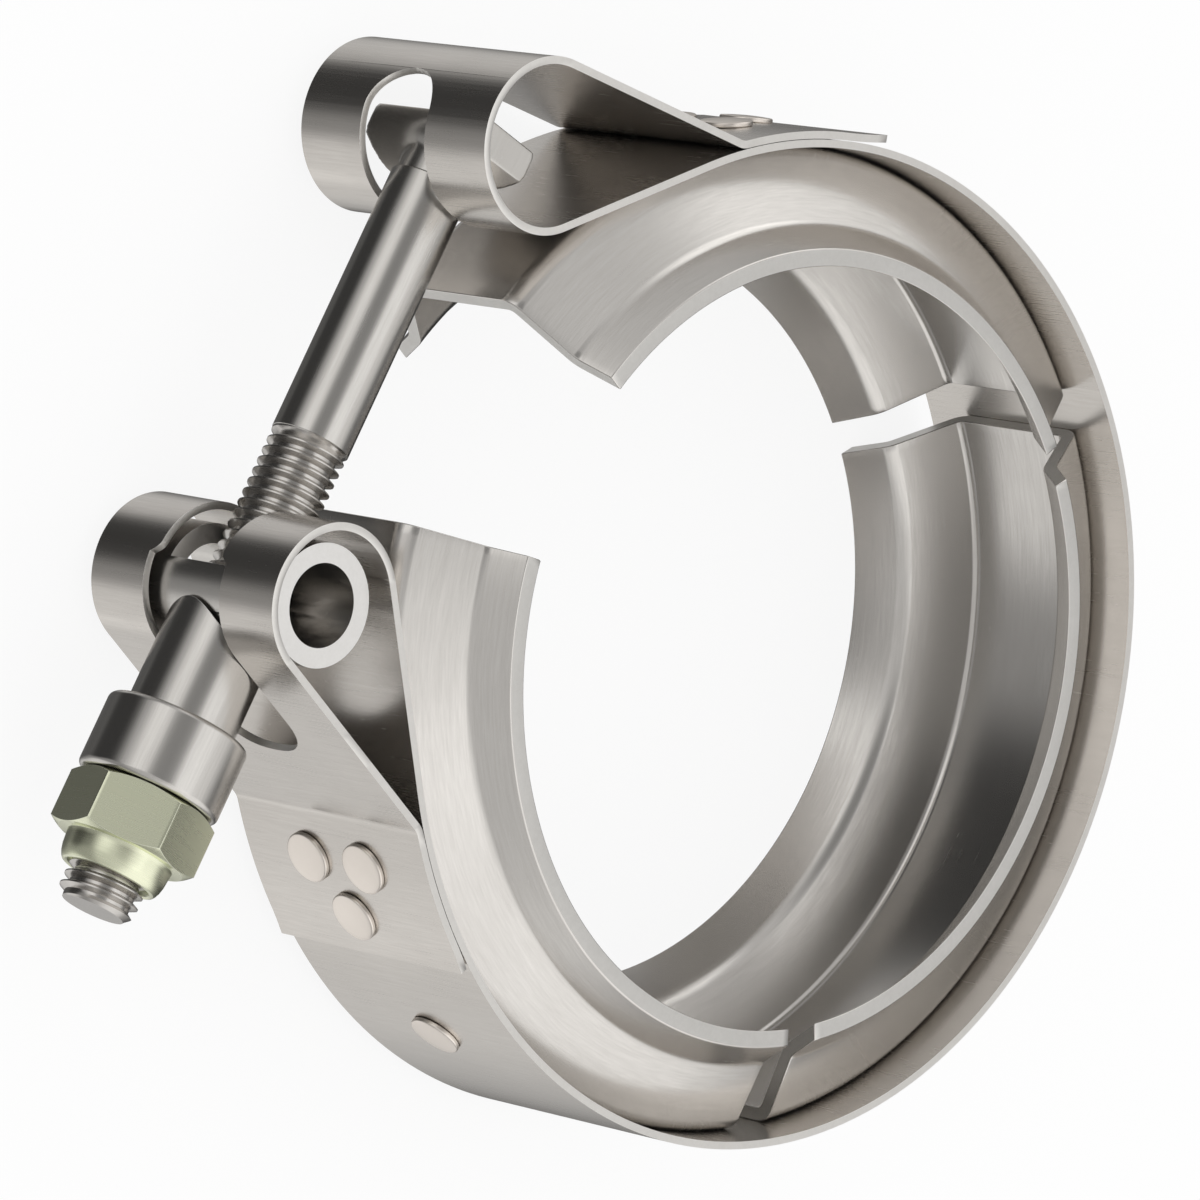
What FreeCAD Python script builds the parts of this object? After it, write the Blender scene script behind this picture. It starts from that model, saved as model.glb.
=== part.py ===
"""V band clamp with a T-bolt latch, lying flat: the ring axis is Z, the latch is on the -Y side.

A folded strip carries three V-section retainers, a T-bolt in its upper loop and a tubular
trunnion in its lower loop. A saddle sleeve and a hexagon lock nut draw the bolt through the
trunnion. All lengths are in millimetres and all angles in degrees.
"""
import FreeCAD, Part
import Sketcher
import math
import os

VECTOR = FreeCAD.Vector
AXIS_X = VECTOR(1, 0, 0)
AXIS_Y = VECTOR(0, 1, 0)
AXIS_Z = VECTOR(0, 0, 1)
ORIGIN_POINT = (-1, 1)
START, END, CENTRE = range(1, 4)
H_AXIS, V_AXIS = -1, -2

doc = FreeCAD.newDocument("VBandClamp")


SIZES = {
    # Band
    "band_inner_radius": 39.9,  # inner face of the strip round the ring
    "band_thickness": 0.62,  # strip thickness
    "band_width": 21.0,  # strip width along the ring axis
    "tab_gap": 0.05,  # paint-thin gap between a riveted tab and the ring
    "upper_leg_angle": 192.7,  # ring angle where the strip leaves for the T-bolt loop
    "upper_loop_radius": 6.9,  # outside of the T-bolt loop
    "upper_loop_reach": 16.1,  # from that ring angle along the strip to the loop centre
    "upper_return_angle": 157.4,  # direction that the upper return leg faces
    "upper_tab_end": 164.8,  # ring angle of the free end of the upper tab
    "lower_leg_angle": 279.5,  # ring angle where the strip leaves for the trunnion loop
    "lower_loop_radius": 6.3,  # outside of the trunnion loop
    "lower_loop_reach": 16.9,  # from that ring angle along the strip to the loop centre
    "lower_return_angle": 312.0,  # direction that the lower return leg faces
    "lower_tab_end": 301.0,  # ring angle of the free end of the lower tab
    "upper_slot_width": 7.4,  # slot for the bolt in the upper loop
    "upper_slot_start": 249.5,  # loop angle of the centre of the slot's outer round end
    "upper_slot_end": 334.0,  # loop angle of the centre of its round end by the ring
    "lower_slot_width": 7.1,  # slot for the thread over the lower loop
    "lower_slot_start": 137.0,  # loop angle of the centre of its round end by the ring
    "sleeve_slot_width": 8.9,  # wider slot for the sleeve
    "sleeve_slot_start": 241.0,  # loop angle of the step to the wider slot
    "sleeve_slot_run": 9.3,  # from the loop centre along the return leg to its round end
    # Retainers
    "retainer_arc": 107.0,  # angle that one retainer covers
    "retainer_gap_share": 0.137,  # part of the open angle that a gap between two of them takes
    "upper_retainer_angle": 168.15,  # ring angle of the middle of the upper retainer
    "retainer_thickness": 1.2,  # sheet of the retainers
    "crown_half_width": 6.55,  # half of the flat crown against the band
    "leg_height": 6.15,  # radial height of a leg
    "leg_angle": 27.0,  # slope of a leg from the radial direction
    "lip_angle": 33.0,  # slope of a lip from the axial direction
    "lip_edge": 12.35,  # distance of the lip edges from the middle plane
    "bend_radius": 0.8,  # inner radius of the retainer's bends
    # Rivets
    "rivet_shank_radius": 1.2,  # rivet shank
    "rivet_hole_clearance": 0.05,  # hole radius over the shank radius
    "rivet_head_radius": 2.15,  # rivet head outside
    "rivet_head_height": 0.5,  # height of the head outside
    "rivet_head_round": 0.2,  # rounded rim of the head
    "rivet_seat": 0.02,  # gap under the middle of the head on its curved seat
    "rivet_tail_radius": 1.7,  # upset end inside the retainer
    "rivet_tail_height": 0.35,  # height of the upset end
    "rivet_tail_seat": 0.05,  # sag of the upset end under the curved crown
    "rivet_pair_spread": 3.2,  # axial offset of each rivet of a pair
    "trunnion_pair_angle": 289.2,  # ring angle of the rivet pair in the lower tab
    "trunnion_single_angle": 296.0,  # ring angle of the single rivet in the lower tab
    "t_bolt_pair_angle": 180.0,  # ring angle of the rivet pair in the upper tab
    "t_bolt_single_angle": 172.5,  # ring angle of the single rivet in the upper tab
    "ring_rivet_angle": 315.2,  # ring angle of the rivet through band and lower retainer
    # Trunnion
    "trunnion_radius": 4.8,  # outside of the trunnion tube
    "trunnion_bore_radius": 3.25,  # bore of the trunnion tube
    "trunnion_length": 18.6,  # length of the trunnion tube
    "trunnion_offset_x": 0.15,  # trunnion axis from the lower loop centre, along X
    "trunnion_offset_y": -0.24,  # trunnion axis from the lower loop centre, along Y
    "trunnion_hole_clearance": 0.375,  # radial clearance of the bolt in the trunnion
    "trunnion_slot_angle": 88.6,  # how far the entry slot runs round from the bolt axis
    # T-bolt
    "head_offset_x": 0.48,  # T-head axis from the upper loop centre, along X
    "head_offset_y": -0.86,  # T-head axis from the upper loop centre, along Y
    "head_radius": 3.3,  # round underside of the T-head
    "head_flat": 1.3,  # flat top of the T-head above its axis
    "head_length": 12.3,  # length of the T-head along the ring axis
    "head_round": 0.5,  # rounded ends of the T-head
    "shank_radius": 3.175,  # plain shank
    "shank_length": 26.4,  # from the T-head axis to the end of the plain shank
    "thread_radius": 3.125,  # crest of the thread
    "thread_run_out": 0.5,  # cone between shank and thread
    "bolt_length": 66.5,  # from the T-head axis to the threaded end
    "bolt_chamfer": 0.55,  # chamfer of the threaded end
    # Saddle sleeve
    "sleeve_radius": 4.36,  # narrow part of the sleeve
    "sleeve_bore_clearance": 0.15,  # radial clearance of the thread in the sleeve
    "saddle_clearance": 0.25,  # gap between the coped end and the trunnion tube
    "collar_radius": 5.75,  # collar of the sleeve
    "collar_start": 11.3,  # from the trunnion axis to the collar
    "collar_length": 6.15,  # length of the collar
    "collar_round": 0.4,  # rounded rims of the collar
    # Lock nut
    "nut_gap": 0.1,  # gap between collar and nut
    "nut_across_flats": 10.3,  # hexagon across flats
    "nut_hex_height": 4.7,  # height of the hexagon
    "nut_chamfer_depth": 0.45,  # depth of the corner chamfers
    "nut_crown_base": 4.25,  # radius of the round crown at the hexagon
    "nut_crown_top": 3.9,  # radius of the crimped end of the crown
    "nut_crown_height": 2.3,  # height of the round crown
    "nut_bore_clearance": 0.06,  # radial clearance of the thread in the nut
}

sheet = doc.addObject("Spreadsheet::Sheet", "Sizes")
for row, (name, value) in enumerate(SIZES.items(), 1):
    sheet.set("A%d" % row, name)
    sheet.set("B%d" % row, str(value))
    sheet.setAlias("B%d" % row, name)
doc.recompute()

SECTOR_STEPS = 4
HEX_CORNERS = 6


def unit(angle):
    """The direction of an angle in the ring plane."""
    return VECTOR(math.cos(math.radians(angle)), math.sin(math.radians(angle)), 0)


class Loop:
    """One loop of the strip: where it sits and how the strip comes back to the ring."""

    def __init__(self, end, side):
        self.end = end
        self.side = side
        self.leg = SIZES[end + "_leg_angle"]
        self.radius = SIZES[end + "_loop_radius"]
        self.face = SIZES[end + "_return_angle"]
        out = unit(self.leg)
        along = unit(self.leg + 90 * side)
        reach = SIZES[end + "_loop_reach"]
        self.centre = out * (SIZES["band_inner_radius"] + self.radius) + along * reach

    def centre_formula(self):
        """Expressions for the loop centre's X and Y."""
        sheet = "Sizes.%s" % self.end
        radius = "(Sizes.band_inner_radius + %s_loop_radius)" % sheet
        angle = "%s_leg_angle * 1 deg" % sheet
        reach = "%d * %s_loop_reach" % (self.side, sheet)
        x_formula = "%s * cos(%s) - %s * sin(%s)" % (radius, angle, reach, angle)
        y_formula = "%s * sin(%s) + %s * cos(%s)" % (radius, angle, reach, angle)
        return x_formula, y_formula

    def kink(self, depth, tab_radius):
        """Where the return leg, depth under its outer face, meets a circle of the tab."""
        facing = unit(self.face)
        distance = self.centre.dot(facing) + self.radius - depth
        across = math.sqrt(tab_radius ** 2 - distance ** 2)
        return facing * distance + unit(self.face + 90 * self.side) * across


upper_loop = Loop("upper", 1)
lower_loop = Loop("lower", -1)
trunnion_centre = lower_loop.centre + VECTOR(SIZES["trunnion_offset_x"], SIZES["trunnion_offset_y"], 0)
head_centre = upper_loop.centre + VECTOR(SIZES["head_offset_x"], SIZES["head_offset_y"], 0)
bolt_direction = (trunnion_centre - head_centre).normalize()
bolt_angle = math.degrees(math.atan2(bolt_direction.y, bolt_direction.x))
bolt_placement = FreeCAD.Placement(head_centre, FreeCAD.Rotation(AXIS_Z, bolt_angle))
latch_placement = FreeCAD.Placement(trunnion_centre, FreeCAD.Rotation(AXIS_Z, bolt_angle))


def new_body(label):
    body = doc.addObject("PartDesign::Body", label)
    body.Label = label
    return body


def new_sketch(body, name, plane, offset=None):
    """A sketch on one of the body's own origin planes."""
    sketch = body.newObject("Sketcher::SketchObject", name)
    support = [item for item in body.Origin.OriginFeatures if item.Role == plane][0]
    sketch.AttachmentSupport = [(support, "")]
    sketch.MapMode = "FlatFace"
    if offset is not None:
        sketch.AttachmentOffset = offset
    return sketch


def bind(sketch, constraint, formula):
    """Adds a dimension to the sketch and binds it to the sheet."""
    index = sketch.addConstraint(constraint)
    sketch.setExpression("Constraints[%d]" % index, formula)


def fix_point(sketch, geometry, end, point, x_formula, y_formula):
    """Holds one point by its two coordinates, each a formula, or None where it is zero."""
    if x_formula is None:
        sketch.addConstraint(Sketcher.Constraint("PointOnObject", geometry, end, V_AXIS))
    else:
        level = Sketcher.Constraint("DistanceX", *ORIGIN_POINT, geometry, end, point.x)
        bind(sketch, level, x_formula)
    if y_formula is None:
        sketch.addConstraint(Sketcher.Constraint("PointOnObject", geometry, end, H_AXIS))
    else:
        level = Sketcher.Constraint("DistanceY", *ORIGIN_POINT, geometry, end, point.y)
        bind(sketch, level, y_formula)


def outline(sketch, corners):
    """A closed outline of straight lines; each corner is x, y and their two formulas."""
    points = [VECTOR(x, y, 0) for x, y, _, _ in corners]
    count = len(points)
    first = sketch.GeometryCount
    for index, point in enumerate(points):
        sketch.addGeometry(Part.LineSegment(point, points[(index + 1) % count]))
    for index, corner in enumerate(corners):
        following = first + (index + 1) % count
        sketch.addConstraint(Sketcher.Constraint("Coincident", first + index, END, following, START))
        fix_point(sketch, first + index, START, points[index], corner[2], corner[3])


def circle(sketch, radius, formula, x=0, y=0, x_formula=None, y_formula=None):
    index = sketch.addGeometry(Part.Circle(VECTOR(x, y, 0), AXIS_Z, radius))
    bind(sketch, Sketcher.Constraint("Radius", index, radius), formula)
    fix_point(sketch, index, CENTRE, VECTOR(x, y, 0), x_formula, y_formula)


def finish(body, feature):
    """Makes a feature the body's last one and builds it."""
    body.Tip = feature
    doc.recompute()
    return feature


def pad(body, name, sketch, formula):
    feature = body.newObject("PartDesign::Pad", name)
    feature.Profile = sketch
    feature.SideType = "Symmetric"
    feature.setExpression("Length", formula)
    return finish(body, feature)


def slot_cut(body, name, sketch, formula):
    """A pocket to both sides of its sketch."""
    feature = body.newObject("PartDesign::Pocket", name)
    feature.Profile = sketch
    feature.SideType = "Symmetric"
    feature.setExpression("Length", formula)
    return finish(body, feature)


def revolve(body, name, sketch, axis, formula="360 deg", midplane=False):
    feature = body.newObject("PartDesign::Revolution", name)
    feature.Profile = sketch
    feature.ReferenceAxis = (sketch, [axis])
    feature.Midplane = midplane
    feature.setExpression("Angle", formula)
    return finish(body, feature)


def round_edges(body, name, feature, edges, formula):
    fillet = body.newObject("PartDesign::Fillet", name)
    fillet.Base = (feature, edges)
    fillet.setExpression("Radius", formula)
    return finish(body, fillet)


def circle_edges(shape, axis, spots):
    """Names of the circular edges about an axis, each at its level and radius."""
    names = []
    for index, edge in enumerate(shape.Edges, 1):
        curve = edge.Curve
        if not isinstance(curve, Part.Circle):
            continue
        level = curve.Center.dot(axis)
        off_axis = (curve.Center - axis * level).Length
        for spot_level, spot_radius in spots:
            same_level = abs(level - spot_level) < 0.001
            same_radius = abs(curve.Radius - spot_radius) < 0.001
            if off_axis < 0.001 and same_level and same_radius:
                names.append("Edge%d" % index)
    return names


def arc(sketch, centre, radius, first, last):
    """An arc of the ring plane, counterclockwise between two points of it."""
    start = math.atan2(first.y - centre.y, first.x - centre.x)
    stop = math.atan2(last.y - centre.y, last.x - centre.x)
    if stop <= start:
        stop += 2 * math.pi
    full = Part.Circle(centre, AXIS_Z, radius)
    return sketch.addGeometry(Part.ArcOfCircle(full, start, stop))


def strip_face(sketch, depth, depth_formula):
    """One face of the strip from tab to tab, depth under the face that has the ring inside."""
    ring = SIZES["band_inner_radius"] + depth
    ring_formula = "Sizes.band_inner_radius" + depth_formula
    flush = 2 * SIZES["band_thickness"] + SIZES["tab_gap"] - depth
    tab = SIZES["band_inner_radius"] + flush
    tab_formula = "Sizes.band_inner_radius + 2 * Sizes.band_thickness + Sizes.tab_gap"
    tab_formula += depth_formula.replace("+", "-")
    origin = VECTOR(0, 0, 0)
    edge = {}
    parts = {}
    for loop in (upper_loop, lower_loop):
        loop_radius = loop.radius - depth
        spot = {
            "tab": unit(SIZES[loop.end + "_tab_end"]) * tab,
            "kink": loop.kink(depth, tab),
            "return": loop.centre + unit(loop.face) * loop_radius,
            "leg": loop.centre - unit(loop.leg) * loop_radius,
            "ring": unit(loop.leg) * ring,
        }
        edge[loop.end] = spot
        if loop is upper_loop:
            tab_arc = arc(sketch, origin, tab, spot["tab"], spot["kink"])
            loop_arc = arc(sketch, loop.centre, loop_radius, spot["return"], spot["leg"])
        else:
            tab_arc = arc(sketch, origin, tab, spot["kink"], spot["tab"])
            loop_arc = arc(sketch, loop.centre, loop_radius, spot["leg"], spot["return"])
        back = sketch.addGeometry(Part.LineSegment(spot["kink"], spot["return"]))
        leg = sketch.addGeometry(Part.LineSegment(spot["leg"], spot["ring"]))
        parts[loop.end] = {"tab": tab_arc, "loop": loop_arc, "back": back, "leg": leg}
    ring_arc = arc(sketch, origin, ring, edge["lower"]["ring"], edge["upper"]["ring"])
    for loop in (upper_loop, lower_loop):
        part = parts[loop.end]
        first, last = (START, END) if loop is upper_loop else (END, START)
        x_formula, y_formula = loop.centre_formula()
        fix_point(sketch, part["loop"], CENTRE, loop.centre, x_formula, y_formula)
        radius = Sketcher.Constraint("Radius", part["loop"], loop.radius - depth)
        radius_formula = "Sizes.%s_loop_radius%s" % (loop.end, depth_formula.replace("+", "-"))
        bind(sketch, radius, radius_formula)
        links = (
            ("Coincident", part["tab"], CENTRE, *ORIGIN_POINT),
            ("Coincident", part["tab"], last, part["back"], START),
            ("Tangent", part["back"], END, part["loop"], first),
            ("Tangent", part["loop"], last, part["leg"], START),
            ("Tangent", part["leg"], END, ring_arc, last),
        )
        for link in links:
            sketch.addConstraint(Sketcher.Constraint(*link))
        bind(sketch, Sketcher.Constraint("Radius", part["tab"], tab), tab_formula)
    sketch.addConstraint(Sketcher.Constraint("Coincident", ring_arc, CENTRE, *ORIGIN_POINT))
    bind(sketch, Sketcher.Constraint("Radius", ring_arc, ring), ring_formula)
    return parts, edge


def make_strip(body):
    """The folded strip: ring, two loops, two return legs and two riveted tabs."""
    sketch = new_sketch(body, "StripSketch", "XY_Plane")
    inner, inner_spots = strip_face(sketch, 0.0, "")
    outer, outer_spots = strip_face(sketch, SIZES["band_thickness"], " + Sizes.band_thickness")
    for loop in (upper_loop, lower_loop):
        end = loop.end
        first = START if loop is upper_loop else END
        tab_end = sketch.addGeometry(Part.LineSegment(outer_spots[end]["tab"], inner_spots[end]["tab"]))
        links = (
            ("Coincident", tab_end, START, outer[end]["tab"], first),
            ("Coincident", tab_end, END, inner[end]["tab"], first),
            ("PointOnObject", *ORIGIN_POINT, tab_end),
            ("Parallel", inner[end]["back"], outer[end]["back"]),
        )
        for link in links:
            sketch.addConstraint(Sketcher.Constraint(*link))
        turn = Sketcher.Constraint("Angle", tab_end, math.radians(SIZES[end + "_tab_end"]))
        bind(sketch, turn, "Sizes.%s_tab_end * 1 deg" % end)
        slope = loop.face + 90 * loop.side
        lean = Sketcher.Constraint("Angle", inner[end]["back"], math.radians(slope))
        bind(sketch, lean, "(Sizes.%s_return_angle + %d) * 1 deg" % (end, 90 * loop.side))
    return pad(body, "Strip", sketch, "Sizes.band_width")


def sector(body, name, first_angle, last_angle, width_formula, wall, loop=None):
    """Cuts a stretch of a round wall, named by its radius, between two angles with formulas."""
    sketch = new_sketch(body, name + "Sketch", "XY_Plane")
    reach = 2 * SIZES[wall]
    reach_formula = "2 * Sizes." + wall
    if loop is None:
        centre = VECTOR(0, 0, 0)
        centre_x, centre_y = "0", "0"
        corners = [(0, 0, None, None)]
    else:
        centre = loop.centre
        centre_x, centre_y = loop.centre_formula()
        corners = [(centre.x, centre.y, centre_x, centre_y)]
    first, first_formula = first_angle
    last, last_formula = last_angle
    for step in range(SECTOR_STEPS + 1):
        share = "%d / %d" % (step, SECTOR_STEPS)
        spot = centre + unit(first + (last - first) * step / SECTOR_STEPS) * reach
        turn = "(%s + (%s - (%s)) * %s)" % (first_formula, last_formula, first_formula, share)
        x_formula = "%s + %s * cos(%s * 1 deg)" % (centre_x, reach_formula, turn)
        y_formula = "%s + %s * sin(%s * 1 deg)" % (centre_y, reach_formula, turn)
        corners.append((spot.x, spot.y, x_formula, y_formula))
    outline(sketch, corners)
    return slot_cut(body, name, sketch, width_formula)


def radial_sketch(body, name, angle, angle_formula, centre=None, centre_formula=None):
    """A sketch plane through the ring axis or a loop's axis, facing an angle of the ring plane."""
    spot = centre or VECTOR(0, 0, 0)
    offset = FreeCAD.Placement(VECTOR(spot.y, 0, spot.x), FreeCAD.Rotation(AXIS_Y, angle))
    sketch = new_sketch(body, name + "Sketch", "YZ_Plane", offset)
    sketch.setExpression(".AttachmentOffset.Rotation.Angle", "(%s) * 1 deg" % angle_formula)
    if centre_formula is not None:
        sketch.setExpression(".AttachmentOffset.Base.z", centre_formula[0])
        sketch.setExpression(".AttachmentOffset.Base.x", centre_formula[1])
    return sketch


def radial_hole(body, name, sketch, depth_formula):
    """A cut from the sketch outward, which has to take something away."""
    before = body.Shape.Volume
    feature = body.newObject("PartDesign::Pocket", name)
    feature.Profile = sketch
    feature.Reversed = True
    feature.setExpression("Length", depth_formula)
    finish(body, feature)
    if body.Shape.Volume >= before - 0.01:
        raise RuntimeError(name + " cuts nothing")
    return feature


def loop_slot(body, name, loop, angle_name, width_name):
    """The round end of a slot, cut square to the loop's wall."""
    formulas = loop.centre_formula()
    angle_formula = "Sizes." + angle_name
    sketch = radial_sketch(body, name, SIZES[angle_name], angle_formula, loop.centre, formulas)
    circle(sketch, SIZES[width_name] / 2, "Sizes.%s / 2" % width_name)
    return radial_hole(body, name, sketch, "2 * Sizes.%s_loop_radius" % loop.end)


def sleeve_slot(body):
    """The wide slot down the lower return leg, with its round end, clear of the other leg."""
    turn = "Sizes.lower_return_angle * 1 deg"
    start = lower_loop.centre + unit(lower_loop.face) * (lower_loop.radius / 2)
    x_formula, y_formula = lower_loop.centre_formula()
    x_formula += " + Sizes.lower_loop_radius / 2 * cos(%s)" % turn
    y_formula += " + Sizes.lower_loop_radius / 2 * sin(%s)" % turn
    sketch = radial_sketch(body, "SleeveSlot", lower_loop.face, "Sizes.lower_return_angle",
                           start, (x_formula, y_formula))
    half = SIZES["sleeve_slot_width"] / 2
    run = SIZES["sleeve_slot_run"]
    half_formula = "Sizes.sleeve_slot_width / 2"
    run_formula = "Sizes.sleeve_slot_run"
    upper_side = sketch.addGeometry(Part.LineSegment(VECTOR(run, half, 0), VECTOR(0, half, 0)))
    top = sketch.addGeometry(Part.LineSegment(VECTOR(0, half, 0), VECTOR(0, -half, 0)))
    lower_side = sketch.addGeometry(Part.LineSegment(VECTOR(0, -half, 0), VECTOR(run, -half, 0)))
    full = Part.Circle(VECTOR(run, 0, 0), AXIS_Z, half)
    end = sketch.addGeometry(Part.ArcOfCircle(full, -math.pi / 2, math.pi / 2))
    links = (
        ("Coincident", upper_side, END, top, START),
        ("Coincident", top, END, lower_side, START),
        ("Tangent", lower_side, END, end, START),
        ("Tangent", end, END, upper_side, START),
        ("PointOnObject", end, CENTRE, H_AXIS),
        ("PointOnObject", top, START, V_AXIS),
        ("Vertical", top),
        ("Horizontal", lower_side),
    )
    for link in links:
        sketch.addConstraint(Sketcher.Constraint(*link))
    bind(sketch, Sketcher.Constraint("Radius", end, half), half_formula)
    level = Sketcher.Constraint("DistanceX", *ORIGIN_POINT, end, CENTRE, run)
    bind(sketch, level, run_formula)
    return radial_hole(body, "SleeveSlot", sketch, "Sizes.lower_loop_radius")


TAB_SEAT_FORMULA = "Sizes.band_inner_radius + 2 * Sizes.band_thickness + Sizes.tab_gap + Sizes.rivet_seat"
RING_SEAT_FORMULA = "Sizes.band_inner_radius + Sizes.band_thickness + Sizes.rivet_seat"
TAB_SEAT = SIZES["band_inner_radius"] + 2 * SIZES["band_thickness"] + SIZES["tab_gap"]
TAB_SEAT += SIZES["rivet_seat"]
RING_SEAT = SIZES["band_inner_radius"] + SIZES["band_thickness"] + SIZES["rivet_seat"]

RETAINERS = ("retainer_upper", "retainer_side", "retainer_lower")

# Each row: hole name, ring angle by name, whether it is a pair, retainer it goes through
RIVET_ROWS = (
    ("TrunnionPair", "trunnion_pair_angle", True, "lower"),
    ("TrunnionSingle", "trunnion_single_angle", False, "lower"),
    ("TBoltPair", "t_bolt_pair_angle", True, "upper"),
    ("TBoltSingle", "t_bolt_single_angle", False, "upper"),
    ("RingRivet", "ring_rivet_angle", False, "lower"),
)


def rivet_hole(body, row, turn=0.0, turn_formula="0"):
    """The hole or pair of holes of one rivet row, in a body turned by an angle about Z."""
    name, angle_name, pair, _ = row
    angle = SIZES[angle_name] - turn
    angle_formula = "Sizes.%s - (%s)" % (angle_name, turn_formula)
    sketch = radial_sketch(body, name, angle, angle_formula)
    radius = SIZES["rivet_shank_radius"] + SIZES["rivet_hole_clearance"]
    radius_formula = "Sizes.rivet_shank_radius + Sizes.rivet_hole_clearance"
    if pair:
        for side in (1, -1):
            level = side * SIZES["rivet_pair_spread"]
            level_formula = "%d * Sizes.rivet_pair_spread" % side
            circle(sketch, radius, radius_formula, 0, level, None, level_formula)
    else:
        circle(sketch, radius, radius_formula)
    return radial_hole(body, name, sketch, TAB_SEAT_FORMULA)


def make_band():
    body = new_body("band")
    make_strip(body)
    sector(body, "UpperSlot", (SIZES["upper_slot_start"], "Sizes.upper_slot_start"),
           (SIZES["upper_slot_end"], "Sizes.upper_slot_end"), "Sizes.upper_slot_width",
           "upper_loop_radius", upper_loop)
    loop_slot(body, "UpperSlotOuterEnd", upper_loop, "upper_slot_start", "upper_slot_width")
    loop_slot(body, "UpperSlotRingEnd", upper_loop, "upper_slot_end", "upper_slot_width")
    sector(body, "LowerSlot", (SIZES["lower_slot_start"], "Sizes.lower_slot_start"),
           (SIZES["sleeve_slot_start"], "Sizes.sleeve_slot_start"), "Sizes.lower_slot_width",
           "lower_loop_radius", lower_loop)
    loop_slot(body, "LowerSlotRingEnd", lower_loop, "lower_slot_start", "lower_slot_width")
    sector(body, "SleeveOpening", (SIZES["sleeve_slot_start"], "Sizes.sleeve_slot_start"),
           (SIZES["lower_return_angle"], "Sizes.lower_return_angle"), "Sizes.sleeve_slot_width",
           "lower_loop_radius", lower_loop)
    sleeve_slot(body)
    for row in RIVET_ROWS:
        rivet_hole(body, row)
    return body


def retainer_bends():
    """Outer and inner bend points of the retainer's section, as radius and height with formulas."""
    slope = "(Sizes.leg_angle * 1 deg)"
    lip = "(Sizes.lip_angle * 1 deg)"
    leg = math.radians(SIZES["leg_angle"])
    flare = math.radians(SIZES["lip_angle"])
    sheet = SIZES["retainer_thickness"]
    crown = SIZES["band_inner_radius"]
    half = SIZES["crown_half_width"]
    low = crown - SIZES["leg_height"]
    wide = half + SIZES["leg_height"] * math.tan(leg)
    low_formula = "Sizes.band_inner_radius - Sizes.leg_height"
    wide_formula = "Sizes.crown_half_width + Sizes.leg_height * tan(%s)" % slope
    share = 1 + math.sin(leg + flare)
    share_formula = "(1 + sin(%s + %s))" % (slope, lip)
    thick = "Sizes.retainer_thickness"
    edge = SIZES["lip_edge"]
    inner_half = half - sheet * math.tan(math.radians(45) - leg / 2)
    inner_half_formula = "Sizes.crown_half_width - %s * tan(45 deg - %s / 2)" % (thick, slope)
    inner_low = low - sheet * (math.sin(leg) + math.cos(flare)) / share
    inner_wide = wide - sheet * (math.cos(leg) + math.sin(flare)) / share
    inner_low_formula = "%s - %s * (sin(%s) + cos(%s)) / %s" % (
        low_formula, thick, slope, lip, share_formula)
    inner_wide_formula = "%s - %s * (cos(%s) + sin(%s)) / %s" % (
        wide_formula, thick, slope, lip, share_formula)
    tip = low - (edge - wide) * math.tan(flare)
    tip_formula = "%s - (Sizes.lip_edge - (%s)) * tan(%s)" % (low_formula, wide_formula, lip)
    inner_tip = inner_low - (edge - inner_wide) * math.tan(flare)
    inner_tip_formula = "%s - (Sizes.lip_edge - (%s)) * tan(%s)" % (
        inner_low_formula, inner_wide_formula, lip)
    outer = (
        (crown, half, "Sizes.band_inner_radius", "Sizes.crown_half_width"),
        (low, wide, low_formula, wide_formula),
        (tip, edge, tip_formula, "Sizes.lip_edge"),
    )
    inner = (
        (inner_tip, edge, inner_tip_formula, "Sizes.lip_edge"),
        (inner_low, inner_wide, inner_low_formula, inner_wide_formula),
        (crown - sheet, inner_half, "Sizes.band_inner_radius - " + thick, inner_half_formula),
    )
    return outer, inner


def make_retainer(label, turn, turn_formula, rows):
    """A V-section retainer: a flat crown, two sloping legs and two flared lips."""
    body = new_body(label)
    sketch = new_sketch(body, label + "Section", "XZ_Plane")
    outer, inner = retainer_bends()
    upper_half = outer + inner
    corners = list(upper_half)
    for radius, height, radius_formula, height_formula in reversed(upper_half):
        corners.append((radius, -height, radius_formula, "-1 * (%s)" % height_formula))
    outline(sketch, corners)
    bar = revolve(body, label + "Bar", sketch, "V_Axis", "Sizes.retainer_arc * 1 deg", True)
    inside_bends = [inner[2], outer[1]]
    outside_bends = [outer[0], inner[1]]
    spots = []
    for bend in inside_bends:
        spots += [(bend[1], bend[0]), (-bend[1], bend[0])]
    bar = round_edges(body, label + "InsideBends", bar, circle_edges(body.Shape, AXIS_Z, spots),
                      "Sizes.bend_radius")
    spots = []
    for bend in outside_bends:
        spots += [(bend[1], bend[0]), (-bend[1], bend[0])]
    round_edges(body, label + "OutsideBends", bar, circle_edges(body.Shape, AXIS_Z, spots),
                "Sizes.bend_radius + Sizes.retainer_thickness")
    for row in rows:
        rivet_hole(body, row, turn, turn_formula)
    body.Placement = FreeCAD.Placement(VECTOR(0, 0, 0), FreeCAD.Rotation(AXIS_Z, turn))
    return body


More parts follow.
